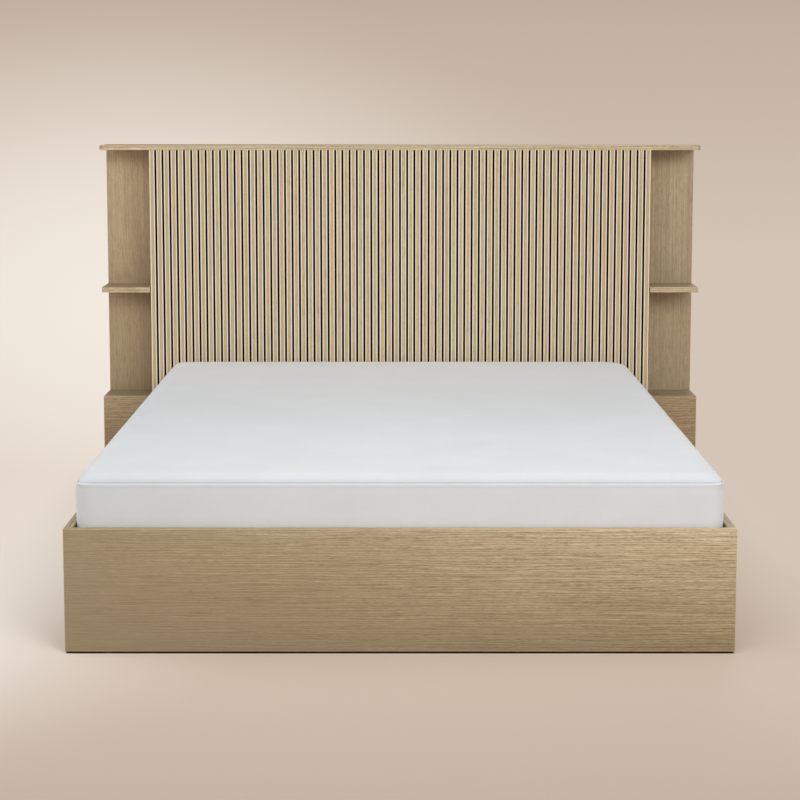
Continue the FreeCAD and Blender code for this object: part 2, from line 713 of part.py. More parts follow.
# Gas struts, a bored cylinder on the lift plate and a rod on the arm
for side, sign in SIDES:
    middle = "strut_layer" if sign > 0 else "-strut_layer"
    eye = mirrored(sign, "strut_layer - eye_thick / 2", "strut_layer + eye_thick / 2")
    past = mirrored(sign, "strut_layer - eye_thick / 2 - overrun", "strut_layer + eye_thick / 2 + overrun")

    def along(name, radius, start, length, u, z):
        """Round bar on the strut line, from a share of it past a stud."""
        item = rod(name, radius, length, middle, u, z, X_AXIS, 1)
        bind(item, "Placement.Rotation.Angle", "strut_lean")
        bind(item, "Placement.Base.y", "face_y - (" + u + ") - (" + start + ") * sin(strut_lean)")
        bind(item, "Placement.Base.z", z + " + (" + start + ") * cos(strut_lean)")
        return item

    name = side + "_strut_cylinder"
    low = ("base_stud_u", "base_stud_z")
    barrel = along(name + "_barrel", "strut_outer", "cylinder_heel", "cylinder_reach - cylinder_heel", *low)
    bore = along(name + "_bore", "strut_bore", "bore_start", "cylinder_reach - bore_start + overrun", *low)
    ring = cross_rod(name + "_ring", "eye_radius", eye, *low)
    hole = cross_rod(name + "_hole", "stud_radius + run_fit", past, *low)
    keep(cut(name, fused(name + "_solid", [barrel, ring]), [bore, hole]), name)

    name = side + "_strut_rod"
    high = ("arm_stud_u", "arm_stud_z")
    shaft = along(name + "_shaft", "rod_radius", "-rod_length", "rod_length", *high)
    ring = cross_rod(name + "_ring", "eye_radius", eye, *high)
    hole = cross_rod(name + "_hole", "stud_radius + run_fit", past, *high)
    keep(cut(name, fused(name + "_solid", [shaft, ring]), [hole]), name)

# Platform frame
PLATFORM_Z = ("tube_low", "tube_top")
for side, sign in SIDES:
    tube(side + "_platform_tube", mirrored(sign, "tube_inner", "tube_outer"),
         ("platform_head", "platform_foot"), PLATFORM_Z, "y")
tube("head_tube", ("-(tube_inner)", "tube_inner"), ("platform_head", "platform_head + tube_size"),
     PLATFORM_Z, "x")
tube("foot_tube", ("-(tube_inner)", "tube_inner"), ("platform_foot - tube_size", "platform_foot"),
     PLATFORM_Z, "x")
tube("centre_tube", ("-spine_half", "spine_half"),
     ("platform_head + tube_size", "platform_foot - tube_size"), PLATFORM_Z, "y")

# Platform brackets, with the arm pivot and the guide roller pin
for side, sign in SIDES:
    label = side + "_lift_bracket"
    body = doc.addObject("PartDesign::Body", label)
    outward = sign < 0
    front_at = (number("bracket_front"), number("bracket_rise"))
    discs = [side_disc(lift_at, number("arm_tip")), side_disc(track_at, number("arm_lobe")),
             side_disc(front_at, number("arm_lobe"))]
    outline = sketch_on(body, "YZ_Plane", label + "_outline", taut_band(discs))
    padded(body, outline, "plate_thick", not outward)
    doc.recompute()
    y, z, r = side_disc(lift_at, number("head_radius"))
    collar = sketch_on(body, "YZ_Plane", label + "_collar", [round_wire(y, z, r)])
    padded(body, collar, "arm_inner - bracket_outer - end_play", outward)
    y, z, r = side_disc(lift_at, number("pin_radius"))
    pivot = sketch_on(body, "YZ_Plane", label + "_pivot", [round_wire(y, z, r)])
    padded(body, pivot, "arm_outer - bracket_outer + end_play + head_thick", outward)
    gap = "(arm_outer - bracket_outer + end_play)"
    flange(body, label + "_head", lift_at, number("head_radius"), gap if sign > 0 else "-" + gap,
           "head_thick", outward)
    y, z, r = side_disc(track_at, number("roller_pin"))
    pin = sketch_on(body, "YZ_Plane", label + "_roller_pin", [round_wire(y, z, r)])
    padded(body, pin, "rail_inner - bracket_outer - plate_thick / 2 + roller_thick / 2", outward)
    bind(body, "Placement.Base.x", "bracket_outer" if sign > 0 else "-(bracket_outer)")
    keep(body, label)

    name = side + "_guide_roller"
    reach = mirrored(sign, "rail_inner - plate_thick / 2 - roller_thick / 2",
                     "rail_inner - plate_thick / 2 + roller_thick / 2")
    past = mirrored(sign, "rail_inner - plate_thick - overrun", "rail_inner + overrun")
    wheel = cross_rod(name + "_wheel", "roller_radius", reach, "track_u", "track_z")
    hole = cross_rod(name + "_hole", "roller_pin", past, "track_u", "track_z")
    keep(cut(name, wheel, [hole]), name)


# Sprung slats in two banks, each end held in a cap on the tubes
def spring_profile(sign):
    inner = number("spring_inner")
    outer = number("spring_outer")
    low = number("holder_floor")
    thick = number("spring_thick")
    bow = number("spring_bow")
    middle = (inner + outer) / 2
    marks = {}
    for level, base in (("under", low), ("over", low + thick)):
        marks[level] = [FreeCAD.Vector(sign * inner, base, 0), FreeCAD.Vector(sign * middle, base + bow, 0),
                        FreeCAD.Vector(sign * outer, base, 0)]
    return [Part.Arc(*marks["under"]), Part.Arc(*marks["over"]),
            Part.LineSegment(marks["under"][0], marks["over"][0]),
            Part.LineSegment(marks["under"][2], marks["over"][2])]


def bank_row(body, feature, sketch, axis, backward=False):
    """Repeat one slat or holder along the bed."""
    row = body.newObject("PartDesign::LinearPattern", body.Name + "_row")
    row.Originals = [feature]
    row.Direction = (sketch, [axis])
    row.Reversed = backward
    row.Mode = "Spacing"
    bind(row, "Offset", "bank_pitch")
    bind(row, "Occurrences", "bank_count")
    body.Tip = row


for side, sign in SIDES:
    label = side + "_sprung_slats"
    body = doc.addObject("PartDesign::Body", label)
    profile = sketch_on(body, "XZ_Plane", label + "_profile", spring_profile(sign))
    slat = padded(body, profile, "spring_width")
    bank_row(body, slat, profile, "N_Axis")
    bind(body, "Placement.Base.y", "face_y - bank_start")
    bind(body, "Placement.Base.z", "tube_top")
    keep(body, label)


def cap_ring():
    """Section of one slat holder, a block with a mouth for the slat."""
    slack = number("slat_fit")
    low = number("holder_floor")
    high = low + number("spring_thick") + number("holder_room")
    edge = number("holder_edge")
    wide = number("spring_width") + 2 * slack + 2 * edge
    outer = polygon([(0, 0), (wide, 0), (wide, high + low), (0, high + low)])
    inner = polygon([(edge, low), (wide - edge, low), (wide - edge, high), (edge, high)])
    return outer + inner


for place in ("inner", "outer"):
    caps = []
    for side, sign in SIDES:
        name = side + "_" + place + "_holder"
        body = doc.addObject("PartDesign::Body", name)
        section = sketch_on(body, "YZ_Plane", name + "_section", cap_ring())
        cap = padded(body, section, "holder_length")
        bank_row(body, cap, section, "H_Axis", True)
        if place == "inner":
            span = mirrored(sign, "floor_gap / 2", "floor_gap / 2 + holder_length")
        else:
            span = mirrored(sign, "tube_outer - holder_length", "tube_outer")
        bind(body, "Placement.Base.x", span[0])
        bind(body, "Placement.Base.y", "face_y - bank_start - spring_width - slat_fit - holder_edge")
        bind(body, "Placement.Base.z", "tube_top")
        caps.append(body)
    group(place + "_slat_holders", caps)

# Mattress stop, a bent rod behind the head end
pieces = []
stop_u = "platform_head - hoop_rod"
for side, sign in SIDES:
    x = "hoop_half" if sign > 0 else "-hoop_half"
    pieces.append(rod(side + "_hoop_leg", "hoop_rod", "hoop_top - hoop_bend - hoop_low", x, stop_u, "hoop_low"))
    bend = doc.addObject("Part::Torus", side + "_hoop_bend")
    spin = 0 if sign > 0 else 90
    lay = FreeCAD.Rotation(X_AXIS, 90).multiply(FreeCAD.Rotation(Z_AXIS, spin))
    bend.Placement = FreeCAD.Placement(FreeCAD.Vector(), lay)
    bend.Angle3 = 90
    bind(bend, "Radius1", "hoop_bend")
    bind(bend, "Radius2", "hoop_rod")
    x = "hoop_half - hoop_bend" if sign > 0 else "hoop_bend - hoop_half"
    centre(bend, x, stop_u, "hoop_top - hoop_bend")
    pieces.append(bend)
pieces.append(cross_rod("hoop_bar", "hoop_rod", ("hoop_bend - hoop_half", "hoop_half - hoop_bend"), stop_u,
                        "hoop_top"))
keep(fused("mattress_stop", pieces), "mattress_stop")

# Lift strap, wrapped round the foot tube with a loop below it
body = doc.addObject("PartDesign::Body", "lift_strap")
tube_y = face_y - number("platform_foot")
tube_z = number("tube_low")
size = number("tube_size")
thick = number("strap_thick")
bend = number("strap_bend")
rings = []
for grow in (thick, 0):
    rings += polygon([(tube_y - grow, tube_z - grow), (tube_y + size + grow, tube_z - grow),
                      (tube_y + size + grow, tube_z + size + grow), (tube_y - grow, tube_z + size + grow)])
wrap = sketch_on(body, "YZ_Plane", "lift_strap_wrap", rings)
padded(body, wrap, "2 * strap_half")
doc.recompute()
loop_y = tube_y + size / 2
loop_z = tube_z - thick / 2 - bend
bands = []
for radius in (bend, bend - thick):
    bands += taut_band([(loop_y, loop_z, radius), (loop_y, loop_z - number("strap_drop"), radius)])
loop = sketch_on(body, "YZ_Plane", "lift_strap_loop", bands)
padded(body, loop, "2 * strap_half")
bind(body, "Placement.Base.x", "spine_half + strap_gap")
keep(body, "lift_strap")

# Mattress, a loft through rounded outlines that draws in at the waist and crowns on top
sections = []
for i, (rise_share, inset_share) in enumerate(zip(MATTRESS_HEIGHT_SHARES, MATTRESS_INSET_SHARES)):
    inset = inset_share * number("mattress_round")
    bend = number("mattress_corner")
    half_x = number("mattress_width") / 2 - inset - bend
    half_y = number("mattress_length") / 2 - inset - bend
    discs = [(a * half_x, b * half_y, bend) for a in (-1, 1) for b in (-1, 1)]
    ring = doc.addObject("Sketcher::SketchObject", "mattress_ring_" + str(i))
    ring.addGeometry(taut_band(discs), False)
    bind(ring, "Placement.Base.y", "face_y - head_gap - mattress_length / 2")
    bind(ring, "Placement.Base.z", "mattress_bottom + mattress_height * " + str(rise_share))
    sections.append(ring)
loft = doc.addObject("Part::Loft", "mattress")
loft.Sections = sections
loft.Solid = True
loft.Ruled = True
keep(loft, "mattress")

doc.recompute()

faults = []
for item in doc.Objects:
    if "Invalid" in item.State or "Error" in item.State:
        faults.append(item.Label + " " + str(item.State))
for item in PARTS:
    if item.Shape.isNull() or not item.Shape.isValid() or not item.Shape.Solids:
        faults.append(item.Label + " has no sound solid")
if faults:
    raise RuntimeError("; ".join(faults))

os.makedirs("parts", exist_ok=True)
for item in PARTS:
    item.Shape.exportStep("parts/" + item.Label + ".step")
print(len(PARTS), "sub-parts written")
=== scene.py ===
"""Looks of the ottoman bed: brushed oak boards, slats, lift gear, sprung platform, mattress and stage."""

import math
import bmesh
import bpy
from bpy.props import FloatProperty, FloatVectorProperty, IntProperty, PointerProperty
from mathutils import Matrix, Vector, noise


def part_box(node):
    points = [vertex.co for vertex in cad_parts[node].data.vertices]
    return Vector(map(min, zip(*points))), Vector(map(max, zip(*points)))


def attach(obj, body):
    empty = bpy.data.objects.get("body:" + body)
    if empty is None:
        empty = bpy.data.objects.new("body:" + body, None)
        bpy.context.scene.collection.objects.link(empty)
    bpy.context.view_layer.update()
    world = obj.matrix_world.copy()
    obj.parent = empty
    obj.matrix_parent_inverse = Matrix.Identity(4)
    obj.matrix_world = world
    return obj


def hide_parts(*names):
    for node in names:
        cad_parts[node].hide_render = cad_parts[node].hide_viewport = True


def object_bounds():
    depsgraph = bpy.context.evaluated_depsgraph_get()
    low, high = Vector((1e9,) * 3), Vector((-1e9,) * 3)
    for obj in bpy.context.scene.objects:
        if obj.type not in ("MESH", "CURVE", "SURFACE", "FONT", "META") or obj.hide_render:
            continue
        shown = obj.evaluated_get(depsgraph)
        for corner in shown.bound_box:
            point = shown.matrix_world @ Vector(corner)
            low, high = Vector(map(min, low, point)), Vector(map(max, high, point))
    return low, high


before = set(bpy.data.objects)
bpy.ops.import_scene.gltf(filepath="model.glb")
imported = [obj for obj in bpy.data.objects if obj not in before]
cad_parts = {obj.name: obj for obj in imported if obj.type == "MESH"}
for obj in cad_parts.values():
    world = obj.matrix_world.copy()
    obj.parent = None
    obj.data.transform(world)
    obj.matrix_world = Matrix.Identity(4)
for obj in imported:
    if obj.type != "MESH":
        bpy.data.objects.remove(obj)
CAD_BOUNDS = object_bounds()

bl_info = {
    "name": "Ottoman bed",
    "version": (1, 0, 0),
    "blender": (4, 5, 0),
    "location": "View3D > Sidebar > Bed",
    "description": "Finishes the boards, fittings and mattress of a storage bed",
    "category": "Object",
}

SIDES = ("left", "right")
X, Y, Z = range(3)
SLAT_COUNT = 70
SLAT_GAP = 0.005
PANEL_HALF = SLAT_GAP / 2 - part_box("left_slats")[0].x
PANEL_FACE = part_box("left_slats")[0].y
MATTRESS_LOW, MATTRESS_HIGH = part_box("mattress")
RAIL_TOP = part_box("left_side_rail")[1].z


def tone(red, green, blue):
    """Linear colour from screen values of 0 to 255."""
    return tuple((c / 255 / 12.92) if c < 11 else ((c / 255 + 0.055) / 1.055) ** 2.4
                 for c in (red, green, blue))


def colour_property(name, description, default):
    return FloatVectorProperty(name=name, description=description, subtype="COLOR", size=3,
                               min=0.0, max=1.0, default=default)


def length_property(name, description, default):
    return FloatProperty(name=name, description=description, unit="LENGTH", min=0.0, default=default)


def power_property(name, description, default):
    return FloatProperty(name=name, description=description, unit="POWER", min=0.0, default=default)


def number_property(name, description, default):
    return FloatProperty(name=name, description=description, min=0.0, default=default)


# Settings


class BedOak(bpy.types.PropertyGroup):
    """Brushed oak of the boards and slats."""

    light: colour_property("Light oak", "Pale early wood of the boards", tone(177, 163, 134))
    dark: colour_property("Dark oak", "Late wood of the boards", tone(149, 132, 104))
    pore: colour_property("Pores", "Open pores and brushed lines", tone(105, 86, 61))
    slat_light: colour_property("Light slat", "Pale early wood of the slats", tone(211, 194, 167))
    slat_dark: colour_property("Dark slat", "Late wood of the slats", tone(182, 163, 134))
    # Tone of the painted highlight on the slats' front corners
    slat_corner_highlight: colour_property("Slat arris", "Rubbed front corners of the slats", tone(255, 245, 222))
    # Also painted onto the slats' sides and corners as shade in the gaps
    backing: colour_property("Backing", "Dark board behind the slats", tone(38, 19, 6))
    tint: colour_property("Warm tint", "Rosy patches of the oak", (1.0, 0.935, 0.90))
    warm: colour_property("Box oak", "Tint of the warmer boards", (1.0, 0.93, 0.88))
    # Tone of the painted shade towards the foot of the boards
    foot: colour_property("Foot oak", "Tone to which the boards darken downwards", tone(104, 84, 52))
    # Pale tone of the silk in the grain, and of the painted highlight along the board arrises
    silk_and_highlight: colour_property("Rubbed oak", "Arrises of the boards", tone(214, 196, 164))
    # Width of the painted highlight along the board arrises
    arris: length_property("Arris", "Width of the rubbed arrises", 0.0022)
    # Width of the painted highlight on a slat's front corner, with its painted shade
    slat_highlight_width: length_property("Slat rim", "Width of a slat's rubbed front corner with its stain", 0.0058)
    # Width of the painted shade along a slat's corner in the gaps
    slat_gap_shade: length_property("Slat stain", "Width of the dark stain along a slat's corner", 0.0020)
    figure_length: length_property("Figure length", "Broad tone changes along the grain", 0.6)
    figure_width: length_property("Figure width", "Broad tone changes across the grain", 0.11)
    band_length: length_property("Band length", "Growth bands along the grain", 0.6)
    band_width: length_property("Band width", "Growth bands across the grain", 0.003)
    streak_length: length_property("Streak length", "Brushed lines along the grain", 0.05)
    streak_width: length_property("Streak width", "Brushed lines across the grain", 0.0026)
    comb: length_property("Comb", "Pitch of the brushed lines on the boards", 0.0074)
    pore_length: length_property("Pore length", "Pores along the grain", 0.011)
    pore_width: length_property("Pore width", "Pores across the grain", 0.0022)
    tint_share: number_property("Tint share", "Strength of the rosy patches", 0.8)
    silk_share: number_property("Silk share", "Strength of the pale silk between the lines", 0.24)
    line_share: number_property("Line share", "Strength of the brushed lines", 0.44)
    pore_share: number_property("Pore share", "Strength of the pores", 0.38)
    comb_dark: number_property("Dark comb", "Strength of the dark lines on the boards", 0.55)
    comb_light: number_property("Light comb", "Strength of the pale lines on the boards", 0.5)
    # Strength of the painted highlight along the board arrises
    arris_highlight_share: number_property("Arris share", "Strength of the rubbed arrises", 0.45)


class BedFittings(bpy.types.PropertyGroup):
    """Inner timber, steel, plastic and webbing."""

    softwood: colour_property("Softwood", "Battens, beam and cross rail", tone(206, 178, 134))
    softwood_dark: colour_property("Softwood rings", "Late wood of the softwood", tone(178, 142, 96))
    laminate: colour_property("Floor board", "Storage floor panels", tone(190, 172, 146))
    laminate_dark: colour_property("Floor grain", "Printed grain of the floor panels", tone(164, 143, 114))
    birch: colour_property("Birch", "Sprung slats", tone(222, 199, 158))
    birch_dark: colour_property("Birch core", "Cross plies of the sprung slats", tone(188, 158, 114))
    plastic: colour_property("Moulding", "Slat holders and glides", tone(34, 34, 35))
    rubber: colour_property("Rubber", "Buffers", tone(28, 28, 29))
    powder: colour_property("Platform steel", "Powder coat of tubes and angles", tone(40, 40, 42))
    lift: colour_property("Lift steel", "Powder coat of plates and arms", tone(92, 94, 97))
    nylon: colour_property("Nylon", "Guide rollers", tone(222, 219, 210))
    zinc: colour_property("Zinc", "Bolt heads", tone(190, 190, 187))
    chrome: colour_property("Chrome", "Strut rods", tone(222, 223, 225))
    strut: colour_property("Strut", "Gloss paint of the strut cylinders", tone(20, 20, 22))
    strut_worn: colour_property("Worn strut", "Duller patches of the strut cylinders", tone(40, 40, 43))
    webbing: colour_property("Webbing", "Lift strap", tone(52, 50, 48))


class BedMattress(bpy.types.PropertyGroup):
    """Shape and cover of the mattress."""

    cover: colour_property("Cover", "White knitted cover", tone(228, 231, 233))
    shade: colour_property("Cover shade", "Hollows of the knit", tone(210, 213, 215))
    crown: length_property("Crown", "Rise of the top panel over its seam", 0.0225)
    corner: length_property("Corner", "Plan radius of the corners", 0.022)
    soft_corner: length_property("Soft corner", "Plan radius of the right corner at the head", 0.115)
    cell: length_property("Cell", "Mesh size of the blank", 0.022)
    swell: length_property("Swell", "Most that the sides may move", 0.008)
    pressure: number_property("Pressure", "Pressure in the cover", 60.0)
    fullness: number_property("Fullness", "How soon the cover comes to its full rise", 4.5)
    frames: IntProperty(name="Frames", description="Steps of the cloth simulation", min=2, default=20)
    crease: FloatProperty(name="Crease", description="Sharpness of the rims", min=0.0, max=1.0, default=0.7)
    seam: length_property("Top seam", "Height of the top seam above the floor", 0.4745)
    base_seam: length_property("Base seam", "Height of the lower seam above the floor", 0.272)
    # Tone of the painted shade round the top seam
    roll: colour_property("Roll", "Tint of the cover round its top seam", (0.925, 0.94, 0.958))
    # Tone of the painted highlight on the seam's lip and of the painted light towards the headboard
    pale: colour_property("Pale", "Tone of the seam's lip and towards the headboard", (0.93, 0.93, 0.94))
    # Tone of the painted shade on the cover's left
    left_cover_shade: colour_property("Dim", "Tint of the cover's left part", (0.93, 0.935, 0.935))
    groove: length_property("Seam depth", "Depth of the seams", 0.0036)
    # Lip and lip edge place the painted highlight below the top seam
    lip: length_property("Lip", "Drop of the pale lip below the top seam", 0.0036)
    lip_edge: length_property("Lip edge", "Half of the lip, and its soft edge", 0.0016)
    knit: length_property("Knit", "Pitch of the knit", 0.0022)


class BedStage(bpy.types.PropertyGroup):
    """Floor, wall, lamps and camera."""

    floor: colour_property("Floor", "Pale floor beside the bed", tone(245, 229, 213))
    # Tone of the painted shade on the floor before the bed
    front: colour_property("Floor front", "Pale floor before the bed", tone(190, 172, 157))
    wall: colour_property("Wall", "Foot of the wall and the surround", tone(212, 197, 182))
    # Painted shade on the upper wall, also the tone of the floor's mottle
    dusk: colour_property("Dusk", "Upper part of the wall", tone(183, 162, 146))
    # Painted pools of light on the wall and the floor
    wall_glow: colour_property("Wall glow", "Pale pool at the left of the wall", tone(243, 234, 223))
    floor_glow: colour_property("Floor glow", "Pale pool at the left of the floor", (1.0, 0.95, 0.9))
    ambient: number_property("Ambient", "Even light from all round", 0.433)
    key: power_property("Key lamp", "Power of the key lamp", 46.0)
    fill: power_property("Fill lamp", "Power of the fill lamp", 280.0)
    foot: power_property("Foot lamp", "Power of the lamp over the foot", 7.6)
    head: power_property("Head lamp", "Power of the headboard lamp", 18.0)
    back: power_property("Back lamp", "Power of the lamp behind", 120.0)
    left: power_property("Left lamp", "Power of the lamp at the left", 68.0)
    right: power_property("Right lamp", "Power of the lamp at the right", 15.5)
    eye: FloatVectorProperty(name="Camera", description="Place of the camera", subtype="TRANSLATION",
                             default=(0.0, -5.5151, 1.5293))
    tilt: FloatProperty(name="Tilt", description="Camera tilt below level", subtype="ANGLE",
                        default=math.radians(5.451))
    lens: number_property("Lens", "Focal length in millimetres", 73.508)
    sensor: number_property("Sensor", "Width of the sensor in millimetres", 36.0)
    shift: FloatProperty(name="Shift", description="Upright shift of the view", default=-0.18)


# Shader maths


class Value:
    """A value that changes over a surface. Sums on it add Math nodes."""

    def __init__(self, finish, socket):
        self.finish = finish
        self.socket = socket

    def maths(self, operation, *terms, clamped=False):
        settings = {"operation": operation, "use_clamp": clamped}
        return self.finish.node("ShaderNodeMath", settings, dict(enumerate(terms)))

    def __add__(self, other):
        return self.maths("ADD", self, other)

    def __sub__(self, other):
        return self.maths("SUBTRACT", self, other)

    def __rsub__(self, other):
        return self.maths("SUBTRACT", other, self)

    def __mul__(self, other):
        return self.maths("MULTIPLY", self, other)

    def __truediv__(self, other):
        return self.maths("DIVIDE", self, other)

    __radd__ = __add__
    __rmul__ = __mul__

    def floor(self):
        return self.maths("FLOOR", self)

    def fraction(self):
        return self.maths("FRACT", self)

    def size(self):
        return self.maths("ABSOLUTE", self)

    def wave(self):
        return self.maths("SINE", self)

    def least(self, other):
        return self.maths("MINIMUM", self, other)

    def most(self, other):
        return self.maths("MAXIMUM", self, other)

    def over(self, start, span):
        """Ramp from 0 at a start to 1 a span further on."""
        return self.maths("MULTIPLY", self - start, 1 / span, clamped=True)


class Finish:
    """Node graph of one material or of the world."""

    def __init__(self, owner):
        owner.use_nodes = True
        self.owner = owner
        self.tree = owner.node_tree
        self.tree.nodes.clear()
        self.place = None

    def node(self, kind, settings=None, sockets=None, output=0):
        """Add a node: its settings first, then the values or links of its sockets."""
        made = self.tree.nodes.new(kind)
        for name, value in (settings or {}).items():
            if name == "stops":
                ramp = made.color_ramp.elements
                while len(ramp) < len(value):
                    ramp.new(1.0)
                for stop, (position, colour) in zip(ramp, value):
                    stop.position = position
                    stop.color = (*colour, 1.0)
            else:
                setattr(made, name, value)
        for key, value in (sockets or {}).items():
            target = made.inputs[key]
            if isinstance(value, Value):
                self.tree.links.new(value.socket, target)
            elif target.type == "RGBA":
                target.default_value = (*value, 1.0)
            else:
                target.default_value = value
        return Value(self, made.outputs[output] if made.outputs else None)

    def spot(self):
        """Place on the piece, in metres."""
        if self.place is None:
            self.place = self.node("ShaderNodeTexCoord", output="Object")
        return self.place

    def axes(self):
        split = self.node("ShaderNodeSeparateXYZ", sockets={0: self.spot()})
        return [Value(self, socket) for socket in split.socket.node.outputs]

    def speckle(self, size, shift=0.0, detail=2.0, warp=0.0, place=None):
        """Noise with grains of a size, or of three sizes along X, Y and Z."""
        sizes = size if isinstance(size, (tuple, list)) else (size,) * 3
        mapped = self.node("ShaderNodeMapping", sockets={
            "Vector": place or self.spot(), "Location": (shift,) * 3,
            "Scale": tuple(1 / length for length in sizes)})
        return self.node("ShaderNodeTexNoise", sockets={
            "Vector": mapped, "Scale": 1.0, "Detail": detail, "Distortion": warp})

    def blend(self, share, low, high, mode="MIX"):
        settings = {"data_type": "RGBA", "blend_type": mode}
        return self.node("ShaderNodeMix", settings, {0: share, 6: low, 7: high}, output=2)

    def surface(self, colour, roughness, height=None, depth=0.0, **constants):
        """Close the graph with one shader. The constants are its other sockets."""
        sockets = {"Base Color": colour, "Roughness": roughness}
        for name, value in constants.items():
            sockets[name.replace("_", " ").title().replace("Ior", "IOR")] = value
        if height is not None:
            sockets["Normal"] = self.node("ShaderNodeBump", sockets={
                "Strength": 1.0, "Distance": depth, "Height": height})
        shader = self.node("ShaderNodeBsdfPrincipled", sockets=sockets)
        self.node("ShaderNodeOutputMaterial", sockets={"Surface": shader})
        return self.owner


def new_finish(name):
    return Finish(bpy.data.materials.new(name))


def stretched(axis, along, across):
    sizes = [across] * 3
    sizes[axis] = along
    return tuple(sizes)


def dress(node, material):
    """Give a CAD node its finish."""
    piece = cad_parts[node]
    if not piece.material_slots:
        raise RuntimeError(node + " has no material slot")
    for slot in piece.material_slots:
        slot.material = material


# Finishes

# Each board takes its grain a step further on, and the slats theirs from one place
BOARD_STEP, SLAT_SHIFT = 0.83, 11.0
# Thin layers and soft edges, in metres
FACE_SKIN, SOFT_EDGE, TIP_EDGE, RIM_EDGE = 0.0008, 0.0004, 0.0006, 0.0018
# Grain: weights of its layers, and the start and span of each ramp over the noise
FIGURE_WEIGHT, BAND_WEIGHT, STREAK_WEIGHT = 0.6, 2.2, 0.9
HUE_RAMP, LINE_RAMP, SILK_RAMP, PORE_RAMP = (0.25, 0.5), (0.52, 0.16), (0.34, 0.12), (0.60, 0.10)
# Comb: slant of the lines on the faces, how far they stray, and their dashes in pitches
COMB_SLANT, COMB_STRAY, COMB_DASH, COMB_PALE = 0.7, 18, (2.5, 0.6), 1.4
COMB_RAMP, DASH_RAMP = (0.1, 0.8), (0.36, 0.28)
TIP_SHARE = 0.3
# Slats: jumps of the grain from one to the next, tints, and strengths of their darker tone, of the painted
# highlight on their corners and of the painted shade at the panel's ends and left
JUMP_ALONG, JUMP_BACK = 3.0, 0.7
SLAT_TINTS = [(0.0, (1.0, 0.94, 0.90)), (0.3, (1.0, 0.985, 0.95)), (0.55, (0.96, 1.0, 0.90)),
              (0.8, (1.0, 0.97, 0.86)), (1.0, (0.94, 0.92, 0.92))]
SLAT_TINT_SHARE, SLAT_DARK_SHARE, CORNER_HIGHLIGHT_SHARE = 0.65, 0.16, 0.85
ENDS_SHARE, LEFT_SHARE = 0.4, 0.2
# Painted shade at the slats' ends and left side and on the cover's left, and painted light on the cover
# towards the head: start and span in metres
SHADED_ENDS, SHADED_LEFT = (0.2, 0.7), (0.3, 0.6)
SHADED_COVER_LEFT, LIT_COVER_HEAD = (0.1, 0.75), (-0.1, 0.9)
# Sprung slats: bow, thickness and number of plies
BIRCH_BOW, BIRCH_THICK, BIRCH_PLIES = 0.006, 0.008, 7
# Webbing: pitch of its ribs and picks
WEB_RIB, WEB_PICK = 0.004, 0.0024
# Knit: slant of its rows on the border, how they interlock, and strengths of its layers
WALE_SLANT, COURSE_SLANT, COURSE_RATIO, COURSE_WANDER = 0.61, 0.79, 0.8, 0.9
LOOP_SHARE, FUZZ_SHARE, DRIFT_SHARE, KNIT_RAMP = 0.45, 0.35, 0.4, (0.15, 0.75)
LOOP_HEIGHT, DRIFT_HEIGHT = 0.12, 0.88
# Strengths of the painted light towards the head and of the painted highlight on the lip; strength and tone
# of the painted shade along the seams, and its ramp
HEAD_LIGHT_SHARE, LIP_HIGHLIGHT_SHARE, SEAM_SHADE_SHARE, SEAM_SHADE_TONE = 0.3, 0.24, 0.2, 0.35
SEAM_SHADE_RAMP = (0.0006, 0.0014)


def brushed_grain(finish, oak, axis, shift, light, dark, place=None):
    """Oak tones, with fine lines and pores as colour and height."""
    def streaked(along, across, step, detail):
        return finish.speckle(stretched(axis, along, across), shift + step, detail, place=place)

    figure = streaked(oak.figure_length, oak.figure_width, step=0.0, detail=2.0)
    hue = streaked(oak.figure_length / 2, oak.figure_width, step=17.3, detail=1.0)
    bands = streaked(oak.band_length, oak.band_width, step=3.1, detail=3.0)
    streaks = streaked(oak.streak_length, oak.streak_width, step=5.7, detail=2.0)
    pores = streaked(oak.pore_length, oak.pore_width, step=8.3, detail=1.0)
    share = 0.5 + (figure - 0.5) * FIGURE_WEIGHT + (bands - 0.5) * BAND_WEIGHT
    share = share + (streaks - 0.5) * STREAK_WEIGHT
    lines = streaks.over(*LINE_RAMP)
    silk = 1 - streaks.over(*SILK_RAMP)
    holes = pores.over(*PORE_RAMP)
    colour = finish.blend(share.over(0.0, 1.0), dark, light)
    colour = finish.blend(hue.over(*HUE_RAMP) * oak.tint_share, colour, oak.tint, "MULTIPLY")
    colour = finish.blend(silk * oak.silk_share, colour, oak.silk_and_highlight)
    colour = finish.blend(lines * oak.line_share, colour, oak.pore)
    colour = finish.blend(holes * oak.pore_share, colour, oak.pore)
    height = 1 - lines * 0.5 - holes * 0.5
    return colour, height, bands


def combed(finish, oak, axis, shift, colour, light):
    """Brushed lines along a board: straight, unevenly spaced and broken into dashes."""
    x, y, z = finish.axes()
    across = z + COMB_SLANT * (y if axis == X else x)
    stray = finish.speckle(stretched(axis, oak.figure_length / 2, oak.comb * 2), shift + 2.9)
    lines = (across * (math.tau / oak.comb) + stray * COMB_STRAY).wave()
    dashes = stretched(axis, *(oak.comb * pitches for pitches in COMB_DASH))
    broken = finish.speckle(dashes, shift + 6.1).over(*DASH_RAMP)
    colour = finish.blend(lines.over(*COMB_RAMP) * broken * oak.comb_dark, colour, oak.pore)
    pale = [COMB_PALE * c for c in light]
    return finish.blend((0 - lines).over(*COMB_RAMP) * broken * oak.comb_light, colour, pale)


def arris_highlight_mask(finish, node, width):
    """1 along the arrises of a board, where a highlight is painted, and 0 away from them."""
    near = []
    for place, low, high in zip(finish.axes(), *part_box(node)):
        near.append(1 - (place - low).least(high - place).over(0.0, width))
    a, b, c = near
    return a.least(b).most(b.least(c)).most(a.least(c))


